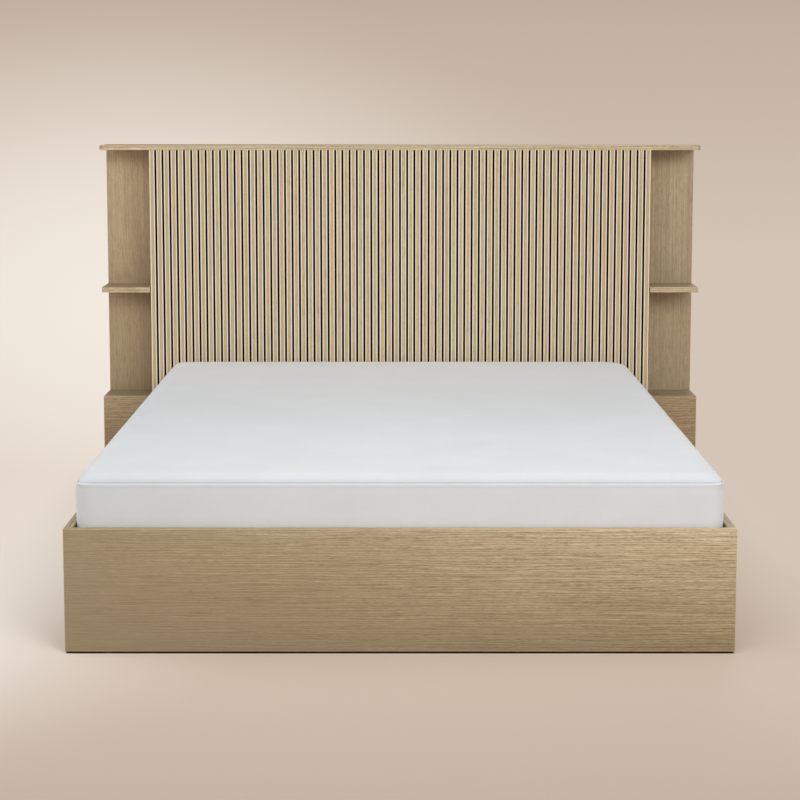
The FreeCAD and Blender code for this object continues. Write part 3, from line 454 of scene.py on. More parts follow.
def oak_board(node, oak, axis, shift, pale=1.0, foot_shade=0.0, left_end_shade=0.0, warm=0.0, top_face_shade=0.0, tip=0.0):
    """A board of its own tone: paler by painted light, warmer, darker by painted shade towards its foot,
    left end or top face, or darker at its tips, with a painted highlight along its arrises.
    """
    finish = new_finish("oak_" + node)
    # pale: painted light, a paler copy of the oak for single boards
    light, dark = ([pale * c for c in tint] for tint in (oak.light, oak.dark))
    colour, height, bands = brushed_grain(finish, oak, axis, shift, light, dark)
    if axis != Z:
        colour = combed(finish, oak, axis, shift, colour, light)
    low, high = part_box(node)
    x, _, z = finish.axes()
    # Painted shade, darker towards the foot
    if foot_shade:
        colour = finish.blend(foot_shade * (1 - z.over(low.z, high.z - low.z)), colour, oak.foot)
    # Painted shade, darker towards the left end
    if left_end_shade:
        colour = finish.blend(left_end_shade * (1 - x.over(low.x, high.x - low.x)), colour, oak.dark)
    if warm:
        colour = finish.blend(warm, colour, oak.warm, "MULTIPLY")
    # Painted shade on the top face, in the pores' tone
    if top_face_shade:
        colour = finish.blend(top_face_shade * z.over(high.z - FACE_SKIN, SOFT_EDGE), colour, oak.pore)
    if tip:
        colour = finish.blend(x.size().over(high.x - tip, TIP_EDGE) * TIP_SHARE, colour, oak.pore)
    # Painted highlight along the arrises
    colour = finish.blend(arris_highlight_mask(finish, node, oak.arris) * oak.arris_highlight_share, colour, oak.silk_and_highlight)
    return finish.surface(colour, 0.5 + bands * 0.16, height, depth=0.0004, specular_ior_level=0.35)


def oak_slats(oak):
    """Each slat has a tint and a stretch of grain of its own, a painted highlight on its front corners and
    painted shade on its sides; the panel has painted shade towards its ends and left.
    """
    finish = new_finish("oak_slats")
    x, y, _ = finish.axes()
    pitch = 2 * PANEL_HALF / SLAT_COUNT
    along = (x + PANEL_HALF) / pitch
    index = along.floor()
    chance = finish.node("ShaderNodeTexWhiteNoise", {"noise_dimensions": "1D"}, {"W": index})
    other = finish.node("ShaderNodeTexWhiteNoise", {"noise_dimensions": "1D"}, {"W": index + 0.5})
    jump = finish.node("ShaderNodeCombineXYZ", sockets={"Z": chance * JUMP_ALONG, "Y": other * JUMP_BACK})
    place = finish.node("ShaderNodeVectorMath", {"operation": "ADD"}, {0: finish.spot(), 1: jump})
    colour, height, bands = brushed_grain(finish, oak, Z, SLAT_SHIFT, oak.slat_light, oak.slat_dark, place)
    tint = finish.node("ShaderNodeValToRGB", {"stops": SLAT_TINTS}, {0: chance})
    colour = finish.blend(SLAT_TINT_SHARE, colour, tint, "MULTIPLY")
    colour = finish.blend(other * SLAT_DARK_SHARE, colour, oak.slat_dark)
    # Painted shade towards the ends and the left of the panel
    ends = x.size().over(*SHADED_ENDS) * ENDS_SHARE + (0 - x).over(*SHADED_LEFT) * LEFT_SHARE
    colour = finish.blend(ends, colour, oak.slat_dark)
    off_centre = (along.fraction() - 0.5).size() * pitch
    half = (pitch - SLAT_GAP) / 2
    # Painted highlight on the slats' front corners
    rim = off_centre.over(half - oak.slat_highlight_width, RIM_EDGE)
    colour = finish.blend(rim * CORNER_HIGHLIGHT_SHARE, colour, oak.slat_corner_highlight)
    # Painted shade in the gaps: a slat's sides and a band at its corners take the backing's dark tone
    stain = off_centre.over(half - oak.slat_gap_shade, SOFT_EDGE)
    inside = y.over(PANEL_FACE + SOFT_EDGE, FACE_SKIN).most(stain)
    colour = finish.blend(inside, colour, oak.backing)
    return finish.surface(colour, 0.5 + bands * 0.14, height, depth=0.0003, specular_ior_level=0.1)


def dark_board(oak):
    finish = new_finish("dark_backing")
    grain = finish.speckle(stretched(Z, 0.3, 0.004), shift=2.0, detail=3.0)
    colour = finish.blend(grain, oak.backing, tuple(c * 1.7 for c in oak.backing))
    return finish.surface(colour, 0.75 + grain * 0.2, grain, depth=0.0002, specular_ior_level=0.0)


def plain_timber(name, axis, light, dark, ring, shift):
    """Planed or printed timber with a soft ring figure."""
    finish = new_finish(name)
    rings = finish.speckle(stretched(axis, 0.9, ring), shift, detail=3.0, warp=0.8)
    fine = finish.speckle(stretched(axis, 0.09, ring / 9), shift + 4.0)
    share = 0.5 + (rings - 0.5) * 2.2 + (fine - 0.5) * 0.6
    colour = finish.blend(share.over(0.0, 1.0), dark, light)
    return finish.surface(colour, 0.5 + fine * 0.2, fine, depth=0.00025, specular_ior_level=0.35)


def birch_slats(fittings):
    """Bowed ply: pale faces, with the plies showing along the edges."""
    finish = new_finish("birch_slats")
    x, _, z = finish.axes()
    low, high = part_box("right_sprung_slats")
    middle, half = (low.x + high.x) / 2, (high.x - low.x) / 2
    reach = (x.size() - middle) / half
    level = z - low.z - (1 - reach * reach) * BIRCH_BOW
    ply = (level * (BIRCH_PLIES / BIRCH_THICK) * 0.5).fraction().over(0.46, 0.08)
    grain = finish.speckle(stretched(X, 0.25, 0.004), shift=1.0, detail=3.0, warp=0.4)
    fine = finish.speckle(stretched(X, 0.03, 0.0012), shift=2.0)
    colour = finish.blend((0.2 + grain * 0.9).over(0.2, 0.9), fittings.birch_dark, fittings.birch)
    colour = finish.blend(ply * 0.5, colour, fittings.birch_dark)
    colour = finish.blend(fine.over(0.58, 0.15) * 0.18, colour, fittings.birch_dark)
    return finish.surface(colour, 0.36 + grain * 0.15, fine, depth=0.0001, coat_weight=0.15)


def moulded(name, colour, grain, shine):
    """Moulded plastic or rubber with a fine spark texture."""
    finish = new_finish(name)
    spark = finish.speckle(grain, shift=1.0, detail=3.0)
    scuff = finish.speckle(0.03, shift=7.0, detail=4.0)
    pale = tuple(c * 1.35 + 0.004 for c in colour)
    mixed = finish.blend(scuff.over(0.45, 0.3) * 0.7 + spark * 0.2, colour, pale)
    return finish.surface(mixed, shine + scuff * 0.2, spark, depth=0.00006)


def powder_coat(name, colour, shine):
    """Powder coat on steel, with its fine orange peel and thin dusty patches."""
    finish = new_finish(name)
    peel = finish.speckle(0.0016, shift=3.0, detail=1.0)
    dust = finish.speckle(0.12, shift=5.0, detail=4.0)
    pale = tuple(c * 1.25 + 0.006 for c in colour)
    mixed = finish.blend(dust.over(0.42, 0.3), colour, pale)
    return finish.surface(mixed, shine + dust * 0.16, peel, depth=0.00005)


def strut_gloss(fittings):
    """Gloss paint with duller, worn patches."""
    finish = new_finish("strut_gloss")
    peel = finish.speckle(0.004, shift=1.0, detail=1.0)
    wear = finish.speckle(0.02, shift=3.0, detail=4.0)
    mixed = finish.blend(wear.over(0.5, 0.3), fittings.strut, fittings.strut_worn)
    return finish.surface(mixed, 0.2 + wear * 0.15, peel, depth=0.00003, coat_weight=0.4)


def turned_metal(name, colour, axis, shine):
    """Bare metal with fine turning or plating marks."""
    finish = new_finish(name)
    marks = finish.speckle(stretched(axis, 0.0006, 0.02), shift=1.0)
    cloud = finish.speckle(0.008, shift=2.0, detail=3.0)
    mixed = finish.blend(cloud * 0.5, colour, tuple(c * 0.72 for c in colour))
    roughness = shine + marks * 0.12 + cloud * 0.08
    return finish.surface(mixed, roughness, marks, depth=0.00001, metallic=1.0)


def webbing(fittings):
    """Herringbone strap, ribs across its width and along its run."""
    finish = new_finish("strap_webbing")
    x, y, z = finish.axes()
    ribs = (x * (math.tau / WEB_RIB)).wave()
    picks = ((y + z) * (math.tau / WEB_PICK) + ribs * 1.6).wave()
    weave = 0.5 + picks * 0.3 + ribs * 0.2
    fuzz = finish.speckle(0.002, shift=1.0, detail=3.0)
    pale = tuple(c * 2.2 for c in fittings.webbing)
    mixed = finish.blend((weave * 0.7 + fuzz * 0.3).over(0.2, 0.7), fittings.webbing, pale)
    return finish.surface(mixed, 0.8 + fuzz * 0.1, weave, depth=0.0004, sheen_weight=0.2)


def knit_cover(settings):
    """White knit: rows of small loops, faintly uneven, with painted shade round the top seam, along the
    seams and at the left, painted light towards the headboard and a painted highlight on the seam's lip.
    """
    finish = new_finish("mattress_cover")
    x, y, z = finish.axes()
    turn = math.tau / settings.knit
    wales = ((x + z * WALE_SLANT) * turn).wave()
    courses = ((y + z * COURSE_SLANT) * turn * COURSE_RATIO + wales * COURSE_WANDER).wave()
    loops = 0.5 + wales * courses * 0.5
    drift = finish.speckle(0.16, shift=4.0, detail=3.0)
    fuzz = finish.speckle(0.0035, shift=6.0)
    share = loops * LOOP_SHARE + fuzz * FUZZ_SHARE + drift * DRIFT_SHARE
    mixed = finish.blend(share.over(*KNIT_RAMP), settings.shade, settings.cover)
    # Painted shade round the top seam, from the rail's top up to the crown
    border = z.over(RAIL_TOP, settings.seam - RAIL_TOP)
    roll = border.least(1 - z.over(settings.seam, settings.crown))
    mixed = finish.blend(roll, mixed, settings.roll, "MULTIPLY")
    # Painted shade on the left of the cover
    mixed = finish.blend((0 - x).over(*SHADED_COVER_LEFT), mixed, settings.left_cover_shade, "MULTIPLY")
    # Painted light towards the headboard
    mixed = finish.blend(y.over(*LIT_COVER_HEAD) * HEAD_LIGHT_SHARE, mixed, settings.pale)
    # Painted highlight on the lip below the top seam
    lip = 1 - (z - (settings.seam - settings.lip)).size().over(settings.lip_edge, settings.lip_edge)
    mixed = finish.blend(lip * LIP_HIGHLIGHT_SHARE, mixed, settings.pale)
    # Painted shade along each seam
    for seam in (settings.seam, settings.base_seam):
        seam_shade = 1 - (z - seam).size().over(*SEAM_SHADE_RAMP)
        mixed = finish.blend(seam_shade * SEAM_SHADE_SHARE, mixed, tuple(c * SEAM_SHADE_TONE for c in settings.shade))
    height = loops * LOOP_HEIGHT + drift * DRIFT_HEIGHT
    return finish.surface(mixed, 0.86 + fuzz * 0.1, height, depth=0.0011, sheen_weight=0.1,
                          specular_ior_level=0.2)


# Operators

# Painted light and shade of single boards, with their tints and darker tips, by the names that oak_board
# takes
BOARD_LOOKS = {
    "headboard_top_board": {"pale": 1.46, "top_face_shade": 0.35, "tip": 0.011},
    "footboard": {"pale": 1.66, "foot_shade": 0.66, "left_end_shade": 0.8},
    "left_mid_shelf": {"pale": 1.36, "top_face_shade": 0.5},
    "right_mid_shelf": {"pale": 1.36, "top_face_shade": 0.35},
    "left_box_front": {"foot_shade": 0.4, "warm": 1.0},
    "right_box_front": {"foot_shade": 0.4, "warm": 1.0},
    "left_box_top": {"top_face_shade": 0.45},
    "right_box_top": {"top_face_shade": 0.2},
    "left_side_rail": {"foot_shade": 0.3},
    "right_side_rail": {"foot_shade": 0.3},
    "left_niche_back": {"pale": 1.23, "foot_shade": 0.54, "warm": 0.3},
    "right_niche_back": {"pale": 1.2, "foot_shade": 0.28},
}


class BED_OT_oak_boards(bpy.types.Operator):
    """Finish the oak boards of the headboard and base"""

    bl_idname = "bed.oak_boards"
    bl_label = "Oak boards"

    def execute(self, context):
        oak = context.scene.bed_oak
        runs = {"headboard_top_board": X, "headboard_lower_panel": X, "footboard": X}
        for side in SIDES:
            runs.update({side + "_mid_shelf": X, side + "_box_front": X, side + "_box_top": X,
                         side + "_side_rail": Y, side + "_box_side": Y,
                         side + "_upright": Z, side + "_niche_back": Z})
        for place, (node, axis) in enumerate(runs.items()):
            finish = oak_board(node, oak, axis, BOARD_STEP * place, **BOARD_LOOKS.get(node, {}))
            dress(node, finish)
        return {"FINISHED"}


class BED_OT_headboard_slats(bpy.types.Operator):
    """Finish the slats of the headboard and the boards behind them"""

    bl_idname = "bed.headboard_slats"
    bl_label = "Headboard slats"

    def execute(self, context):
        oak = context.scene.bed_oak
        slats = oak_slats(oak)
        for side in SIDES:
            dress(side + "_slats", slats)
        dress("slat_backing", dark_board(oak))
        rear = plain_timber("rear_board", Z, oak.light, oak.dark, ring=0.02, shift=4.0)
        dress("centre_back_panel", rear)
        dress("headboard_studs", rear)
        return {"FINISHED"}


class BED_OT_storage_base(bpy.types.Operator):
    """Finish the storage floor, its timber and the fittings of the base"""

    bl_idname = "bed.storage_base"
    bl_label = "Storage base"

    def execute(self, context):
        fittings = context.scene.bed_fittings
        timber = (fittings.softwood, fittings.softwood_dark)
        dress("head_cross_rail", plain_timber("softwood_rail", X, *timber, ring=0.016, shift=1.0))
        dress("floor_battens", plain_timber("softwood_battens", Y, *timber, ring=0.012, shift=6.0))
        dress("floor_centre_beam", plain_timber("softwood_beam", Y, *timber, ring=0.014, shift=9.0))
        for step, side in enumerate(SIDES):
            boards = plain_timber(side + "_floor", Y, fittings.laminate, fittings.laminate_dark,
                                  ring=0.03, shift=2.0 + 5 * step)
            dress(side + "_floor_panel", boards)
        glides = moulded("glide_plastic", fittings.plastic, grain=0.0012, shine=0.5)
        dress("base_glides", glides)
        dress("headboard_glides", glides)
        dress("support_buffers", moulded("buffer_rubber", fittings.rubber, grain=0.002, shine=0.7))
        powder = powder_coat("bracket_powder", fittings.powder, shine=0.42)
        for node in ("foot_corner_brackets", "head_corner_brackets"):
            dress(node, powder)
        for side in SIDES:
            dress(side + "_support_angle", powder)
        dress("frame_bolts", turned_metal("bolt_zinc", fittings.zinc, Z, shine=0.3))
        return {"FINISHED"}


class BED_OT_lift_gear(bpy.types.Operator):
    """Finish the lift plates, arms, struts and rollers"""

    bl_idname = "bed.lift_gear"
    bl_label = "Lift gear"

    def execute(self, context):
        fittings = context.scene.bed_fittings
        coat = powder_coat("lift_powder", fittings.lift, shine=0.38)
        gloss = strut_gloss(fittings)
        chrome = turned_metal("strut_chrome", fittings.chrome, X, shine=0.06)
        nylon = moulded("roller_nylon", fittings.nylon, grain=0.0015, shine=0.4)
        for side in SIDES:
            for part in ("_lift_plate", "_lift_arm", "_lift_bracket"):
                dress(side + part, coat)
            dress(side + "_strut_cylinder", gloss)
            dress(side + "_strut_rod", chrome)
            dress(side + "_guide_roller", nylon)
        return {"FINISHED"}


class BED_OT_sprung_platform(bpy.types.Operator):
    """Finish the platform frame, sprung slats, stop and strap"""

    bl_idname = "bed.sprung_platform"
    bl_label = "Sprung platform"

    def execute(self, context):
        fittings = context.scene.bed_fittings
        powder = powder_coat("platform_powder", fittings.powder, shine=0.4)
        for node in ("left_platform_tube", "right_platform_tube", "head_tube", "foot_tube", "centre_tube",
                     "mattress_stop"):
            dress(node, powder)
        birch = birch_slats(fittings)
        for side in SIDES:
            dress(side + "_sprung_slats", birch)
        caps = moulded("holder_plastic", fittings.plastic, grain=0.001, shine=0.45)
        for place in ("inner", "outer"):
            dress(place + "_slat_holders", caps)
        dress("lift_strap", webbing(fittings))
        return {"FINISHED"}


# Mattress

# Angle of a creased edge, and how far up the rim and the top panel face
CREASE_ANGLE, RIM_FACING, PANEL_FACING = 1.0, 0.9, 0.5
# Swell: soft passage over the rails' rim, and shares of it at the ends and between the rails
RIM_MARGIN = 0.015
END_SWELL, HELD_SWELL = 0.45, 0.85
# Offset from a seam, and share of its depth, from above to below
SEAM_PROFILE = ((0.011, 0.0), (0.005, -0.15), (0.0018, -0.7), (0.0, -1.0),
                (-0.0012, -0.2), (-0.003, 0.42), (-0.006, 0.4), (-0.012, 0.0))
# Puckers for each metre, their height and their reach from the seam
PUCKERS, PUCKER_HEIGHT, PUCKER_REACH = 30, 0.0009, 0.022


def mattress_blank(settings):
    """Flat-topped block up to the top seam, with rounded plan corners and even quads."""
    low, high = MATTRESS_LOW, Vector((MATTRESS_HIGH.x, MATTRESS_HIGH.y, settings.seam))
    span, middle = high - low, (low + high) / 2
    cells = [round(length / settings.cell) for length in span]
    bm = bmesh.new()
    bmesh.ops.create_grid(bm, x_segments=cells[X], y_segments=cells[Y], size=0.5)
    bmesh.ops.scale(bm, vec=(span.x, span.y, 1.0), verts=bm.verts)
    for vert in bm.verts:
        radius = settings.soft_corner if vert.co.x > 0 and vert.co.y > 0 else settings.corner
        inner = [math.copysign(half / 2 - radius, place) for half, place in zip(span.xy, vert.co.xy)]
        past = [(place - start) / radius for place, start in zip(vert.co.xy, inner)]
        if past[X] * inner[X] > 0 and past[Y] * inner[Y] > 0:
            for axis in (X, Y):
                pull = math.sqrt(max(0.0, 1 - past[1 - axis] ** 2 / 2))
                vert.co[axis] = inner[axis] + past[axis] * pull * radius
    raised = bmesh.ops.extrude_face_region(bm, geom=bm.faces[:], use_keep_orig=True)
    tops = [item for item in raised["geom"] if isinstance(item, bmesh.types.BMVert)]
    bmesh.ops.translate(bm, vec=(0.0, 0.0, span.z), verts=tops)
    upright = [e for e in bm.edges if abs(e.verts[0].co.z - e.verts[1].co.z) > span.z / 2]
    bmesh.ops.subdivide_edges(bm, edges=upright, cuts=cells[Z] - 1, use_grid_fill=True)
    bmesh.ops.translate(bm, vec=(middle.x, middle.y, low.z), verts=bm.verts)
    bmesh.ops.recalc_face_normals(bm, faces=bm.faces)
    crease = bm.edges.layers.float.new("crease_edge")
    for edge in bm.edges:
        if edge.calc_face_angle() > CREASE_ANGLE:
            edge[crease] = settings.crease
    mesh = bpy.data.meshes.new("mattress_cover")
    bm.to_mesh(mesh)
    bm.free()
    return mesh


def settled(piece):
    """Mesh of a piece with its modifiers applied."""
    graph = bpy.context.evaluated_depsgraph_get()
    return bpy.data.meshes.new_from_object(piece.evaluated_get(graph), depsgraph=graph)


def swap_mesh(piece, mesh):
    piece.modifiers.clear()
    old = piece.data
    piece.data = mesh
    bpy.data.meshes.remove(old)


def inflate(piece, settings):
    """Let pressure swell the cover between its held seams, within set limits."""
    held = piece.vertex_groups.new(name="held")
    half = settings.cell / 2
    pinned = [v.index for v in piece.data.vertices
              if v.co.z < settings.base_seam or v.co.z > settings.seam - half and v.normal.z < RIM_FACING]
    held.add(pinned, 1.0, "REPLACE")
    cloth = piece.modifiers.new("cover", "CLOTH")
    cloth.settings.quality = 5
    cloth.settings.mass = 0.4
    cloth.settings.use_pressure = True
    cloth.settings.uniform_pressure_force = settings.pressure
    cloth.settings.effector_weights.gravity = 0.0
    cloth.settings.vertex_group_mass = "held"
    cloth.collision_settings.use_collision = False
    cloth.point_cache.frame_start = 1
    cloth.point_cache.frame_end = settings.frames
    scene = bpy.context.scene
    for step in range(1, settings.frames + 1):
        scene.frame_set(step)
    swollen = settled(piece)
    for was, now in zip(piece.data.vertices, swollen.vertices):
        move = now.co - was.co
        free = min(1.0, max(0.0, (was.co.z - RAIL_TOP + RIM_MARGIN) / (2 * RIM_MARGIN)))
        border = settings.swell * (END_SWELL + (1 - END_SWELL) * abs(was.normal.x))
        border *= HELD_SWELL + (1 - HELD_SWELL) * free
        most = settings.crown if was.normal.z > PANEL_FACING else border
        if move.length > 0:
            rise = math.tanh(settings.fullness * move.length / most)
            now.co = was.co + move.normalized() * most * rise
    swap_mesh(piece, swollen)
    piece.vertex_groups.clear()
    scene.frame_set(1)


def subdivide(piece):
    modifier = piece.modifiers.new("smooth", "SUBSURF")
    modifier.levels = modifier.render_levels = 1
    swap_mesh(piece, settled(piece))


def sew(piece, settings):
    """Draw the cover in along the seams, with a raised lip and faint puckers."""
    bm = bmesh.new()
    bm.from_mesh(piece.data)
    for seam in (settings.seam, settings.base_seam):
        for offset, _ in SEAM_PROFILE:
            bmesh.ops.bisect_plane(bm, geom=bm.verts[:] + bm.edges[:] + bm.faces[:],
                                   plane_co=(0.0, 0.0, seam + offset), plane_no=(0.0, 0.0, 1.0))
    bm.normal_update()
    moves = []
    for vert in bm.verts:
        shift = 0.0
        for seam in (settings.seam, settings.base_seam):
            rise = vert.co.z - seam
            for (top, high), (base, low) in zip(SEAM_PROFILE, SEAM_PROFILE[1:]):
                if base <= rise <= top:
                    share = (rise - base) / (top - base)
                    shift += settings.groove * (low + (high - low) * share)
                    break
            pucker = noise.noise(Vector((vert.co.x * PUCKERS, vert.co.y * PUCKERS, seam)))
            shift += PUCKER_HEIGHT * pucker * math.exp(-(rise / PUCKER_REACH) ** 2)
        moves.append((vert, vert.normal * shift))
    for vert, move in moves:
        vert.co += move
    bm.to_mesh(piece.data)
    bm.free()
    piece.data.polygons.foreach_set("use_smooth", [True] * len(piece.data.polygons))
    piece.data.update()


class BED_OT_mattress(bpy.types.Operator):
    """Make the mattress: a filled white cover with a seam round its top panel"""

    bl_idname = "bed.mattress"
    bl_label = "Mattress"

    def execute(self, context):
        settings = context.scene.bed_mattress
        piece = bpy.data.objects.new("mattress_padded", mattress_blank(settings))
        context.scene.collection.objects.link(piece)
        inflate(piece, settings)
        subdivide(piece)
        sew(piece, settings)
        piece.data.materials.clear()
        piece.data.materials.append(knit_cover(settings))
        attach(piece, "platform")
        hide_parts("mattress")
        return {"FINISHED"}


# Stage

STAGE_REACH, WALL_GAP, WALL_RISE = 20.0, 0.05, 5.0
DUSK_HEIGHT, DUSK_SPAN = 2.4, 1.53
# Painted pools of light: centre and reach
WALL_POOL = (-1.09, 0.68), (2.2, 1.4)
FLOOR_POOL = (-1.8, -0.4), (1.6, 2.0)
# Ramps: start and span in metres; FLOOR_FRONT is the painted shade on the floor before the bed
WALL_ENDS, FLOOR_ENDS = (2.4, 3.0), (2.6, 3.0)
FLOOR_FRONT, FLOOR_REAR, BESIDE_BED = (-2.2, 2.6), (-1.7, 1.9), (0.95, 0.45)
# Painted shadow on the floor under the bed: inset at the sides and the foot, soft edge and tone
SHADOW_INSET, SHADOW_EDGE, SHADOW_TONE = (0.004, 0.002), 0.004, 0.04
MOTTLE_SHARE = 0.08
# Place, aim and size of each lamp
LAMPS = {
    "key": ((-4.2, -7.6, 5.0), (0.0, 0.2, 0.5), (4.0, 3.0)),
    "fill": ((4.4, -7.6, 4.4), (0.0, 0.2, 0.6), (4.0, 3.0)),
    "foot": ((0.2, -2.0, 2.6), (0.0, -1.1, 0.2), (3.2, 1.0)),
    "head": ((0.0, -2.6, 2.7), (0.0, 1.0, 0.9), (3.2, 0.8)),
    "back": ((1.5, 6.5, 4.4), (0.0, 1.0, 0.6), (4.0, 3.0)),
    "left": ((-4.4, -0.8, 2.4), (-0.9, -0.3, 0.3), (2.6, 2.2)),
    "right": ((4.4, -0.8, 2.4), (0.9, -0.3, 0.3), (2.6, 2.2)),
}


def add_stage_mesh(name, bm, material):
    mesh = bpy.data.meshes.new(name)
    bm.to_mesh(mesh)
    bm.free()
    mesh.materials.append(material)
    piece = bpy.data.objects.new(name, mesh)
    bpy.context.scene.collection.objects.link(piece)


def pool(across, up, centre, reach):
    """Soft pool: 1 at its centre, 0 past its reach."""
    off = (across - centre[0]) / reach[0], (up - centre[1]) / reach[1]
    inside = (1 - off[0] * off[0] - off[1] * off[1]).over(0.0, 1.0)
    return inside * inside


def backdrop(finish, settings, x, z):
    """Wall tones: painted shade (dusk) above, a painted pool of light at the left, even away from the bed.
    """
    colour = finish.blend((DUSK_HEIGHT - z).over(0.0, DUSK_SPAN), settings.dusk, settings.wall)
    colour = finish.blend(pool(x, z, *WALL_POOL), colour, settings.wall_glow)
    return finish.blend(x.size().over(*WALL_ENDS), colour, settings.wall)


def pale_floor(settings):
    """Floor with painted shade before the bed, a painted pool of light at the left and a painted shadow
    under the bed, that fades into the wall and, far off, into the surround.
    """
    finish = new_finish("pale_floor")
    x, y, z = finish.axes()
    mottle = finish.speckle(0.9, shift=2.0, detail=3.0)
    # Painted shade on the floor before the bed
    colour = finish.blend(y.over(*FLOOR_FRONT), settings.front, settings.floor)
    # Painted pool of light at the left
    colour = finish.blend(pool(x, y, *FLOOR_POOL), colour, settings.floor_glow)
    colour = finish.blend(mottle * MOTTLE_SHARE, colour, settings.dusk)
    # Painted shadow under the bed
    low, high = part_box("footboard")
    beside = x.size().over(high.x - SHADOW_INSET[X], SHADOW_EDGE)
    outside = beside.most(y.size().over(-low.y - SHADOW_INSET[Y], SHADOW_EDGE))
    colour = finish.blend(outside, tuple(c * SHADOW_TONE for c in settings.front), colour)
    matt = finish.node("ShaderNodeBsdfPrincipled", sockets={
        "Base Color": colour, "Roughness": 0.8 + mottle * 0.1, "Specular IOR Level": 0.15})
    away = x * x + y * y
    far = away.maths("SQRT", away).over(*FLOOR_ENDS)
    near = y.over(*FLOOR_REAR) * x.size().over(*BESIDE_BED)
    colour = finish.blend(far, backdrop(finish, settings, x, z), settings.wall)
    plain = finish.node("ShaderNodeEmission", sockets={"Color": colour, "Strength": 1.0})
    seen = finish.node("ShaderNodeLightPath", output="Is Camera Ray")
    shader = finish.node("ShaderNodeMixShader", sockets={0: near.most(far) * seen, 1: matt, 2: plain})
    finish.node("ShaderNodeOutputMaterial", sockets={"Surface": shader})
    return finish.owner


def pale_wall(settings):
    """Wall that only the camera sees, and only from the front."""
    finish = new_finish("pale_wall")
    x, _, z = finish.axes()
    colour = backdrop(finish, settings, x, z)
    plain = finish.node("ShaderNodeEmission", sockets={"Color": colour, "Strength": 1.0})
    clear = finish.node("ShaderNodeBsdfTransparent")
    seen = finish.node("ShaderNodeLightPath", output="Is Camera Ray")
    behind = finish.node("ShaderNodeNewGeometry", output="Backfacing")
    shader = finish.node("ShaderNodeMixShader", sockets={0: seen * (1 - behind), 1: clear, 2: plain})
    finish.node("ShaderNodeOutputMaterial", sockets={"Surface": shader})
    return finish.owner


def surround(settings):
    """Even neutral light, seen as a pale backdrop by the camera and in metal."""
    finish = Finish(bpy.context.scene.world or bpy.data.worlds.new("surround"))
    bpy.context.scene.world = finish.owner
    white = (1.0, 1.0, 1.0)
    lit = finish.node("ShaderNodeBackground", sockets={"Color": white, "Strength": settings.ambient})
    shown = finish.node("ShaderNodeBackground", sockets={"Color": settings.wall, "Strength": 1.0})
    path = finish.node("ShaderNodeLightPath", output="Is Camera Ray")
    gloss = finish.node("ShaderNodeLightPath", output="Is Glossy Ray")
    shader = finish.node("ShaderNodeMixShader", sockets={0: path.most(gloss), 1: lit, 2: shown})
    finish.node("ShaderNodeOutputWorld", sockets={"Surface": shader})


def softbox(name, place, target, size, power):
    lamp = bpy.data.lights.new(name, "AREA")
    lamp.shape = "RECTANGLE"
    lamp.size, lamp.size_y = size
    lamp.energy = power
    piece = bpy.data.objects.new(name, lamp)
    piece.location = place
    piece.rotation_euler = (Vector(target) - Vector(place)).to_track_quat("-Z", "Y").to_euler()
    bpy.context.scene.collection.objects.link(piece)


def add_floor(settings):
    bm = bmesh.new()
    bmesh.ops.create_grid(bm, x_segments=2, y_segments=2, size=STAGE_REACH)
    add_stage_mesh("floor", bm, pale_floor(settings))


def add_wall(settings):
    """Wall close behind the bed, with its face to the bed."""
    back = CAD_BOUNDS[1].y + WALL_GAP
    bm = bmesh.new()
    ends = [bm.verts.new((x, back, 0.0)) for x in (-STAGE_REACH / 2, STAGE_REACH / 2)]
    raised = bmesh.ops.extrude_edge_only(bm, edges=[bm.edges.new(ends)])
    tops = [item for item in raised["geom"] if isinstance(item, bmesh.types.BMVert)]
    bmesh.ops.translate(bm, vec=(0.0, 0.0, WALL_RISE), verts=tops)
    bm.normal_update()
    if sum(face.normal.y for face in bm.faces) > 0:
        bmesh.ops.reverse_faces(bm, faces=bm.faces)
    add_stage_mesh("wall", bm, pale_wall(settings))


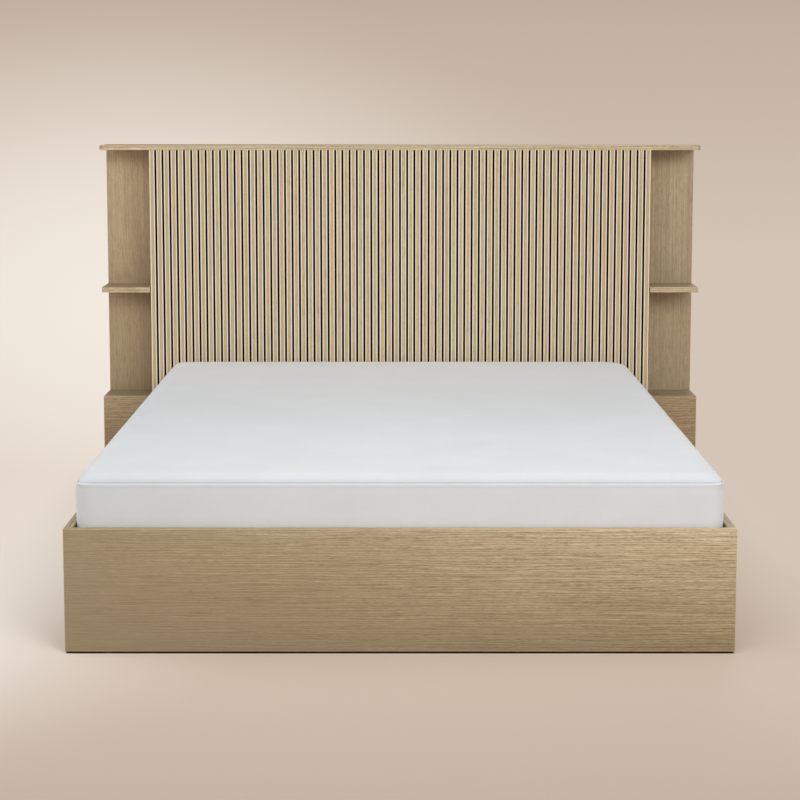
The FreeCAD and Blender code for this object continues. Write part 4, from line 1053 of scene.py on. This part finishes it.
def add_camera(scene, settings):
    camera = bpy.data.cameras.new("photo_view")
    camera.lens = settings.lens
    camera.sensor_width = settings.sensor
    camera.shift_y = settings.shift
    camera.clip_end = 5 * STAGE_REACH
    view = bpy.data.objects.new("photo_view", camera)
    view.location = settings.eye
    view.rotation_euler = (math.pi / 2 - settings.tilt, 0.0, 0.0)
    scene.collection.objects.link(view)
    scene.camera = view


class BED_OT_stage(bpy.types.Operator):
    """Set up the floor, wall, lamps and camera"""

    bl_idname = "bed.stage"
    bl_label = "Stage"

    def execute(self, context):
        settings = context.scene.bed_stage
        scene = context.scene
        scene.view_settings.view_transform = "Standard"
        add_floor(settings)
        add_wall(settings)
        surround(settings)
        for name, (place, target, size) in LAMPS.items():
            softbox(name + "_lamp", place, target, size, getattr(settings, name))
        add_camera(scene, settings)
        return {"FINISHED"}


class BED_PT_steps(bpy.types.Panel):
    """Steps that finish the bed"""

    bl_label = "Ottoman bed"
    bl_space_type = "VIEW_3D"
    bl_region_type = "UI"
    bl_category = "Bed"

    def draw(self, context):
        for step in STEPS:
            self.layout.operator(step.bl_idname)
        for group in GROUPS:
            settings = getattr(context.scene, group)
            column = self.layout.column(heading=group.replace("_", " ").capitalize())
            for name in settings.__annotations__:
                column.prop(settings, name)


GROUPS = {"bed_oak": BedOak, "bed_fittings": BedFittings, "bed_mattress": BedMattress,
          "bed_stage": BedStage}
STEPS = (BED_OT_oak_boards, BED_OT_headboard_slats, BED_OT_storage_base, BED_OT_lift_gear,
         BED_OT_sprung_platform, BED_OT_mattress, BED_OT_stage)


def register():
    for kind in (*GROUPS.values(), *STEPS, BED_PT_steps):
        bpy.utils.register_class(kind)
    for name, kind in GROUPS.items():
        setattr(bpy.types.Scene, name, PointerProperty(type=kind))


def unregister():
    for name in GROUPS:
        delattr(bpy.types.Scene, name)
    for kind in reversed((*GROUPS.values(), *STEPS, BED_PT_steps)):
        bpy.utils.unregister_class(kind)


def main():
    register()
    bpy.ops.bed.oak_boards()
    bpy.ops.bed.headboard_slats()
    bpy.ops.bed.storage_base()
    bpy.ops.bed.lift_gear()
    bpy.ops.bed.sprung_platform()
    bpy.ops.bed.mattress()
    bpy.ops.bed.stage()


if __name__ == "__main__":
    main()
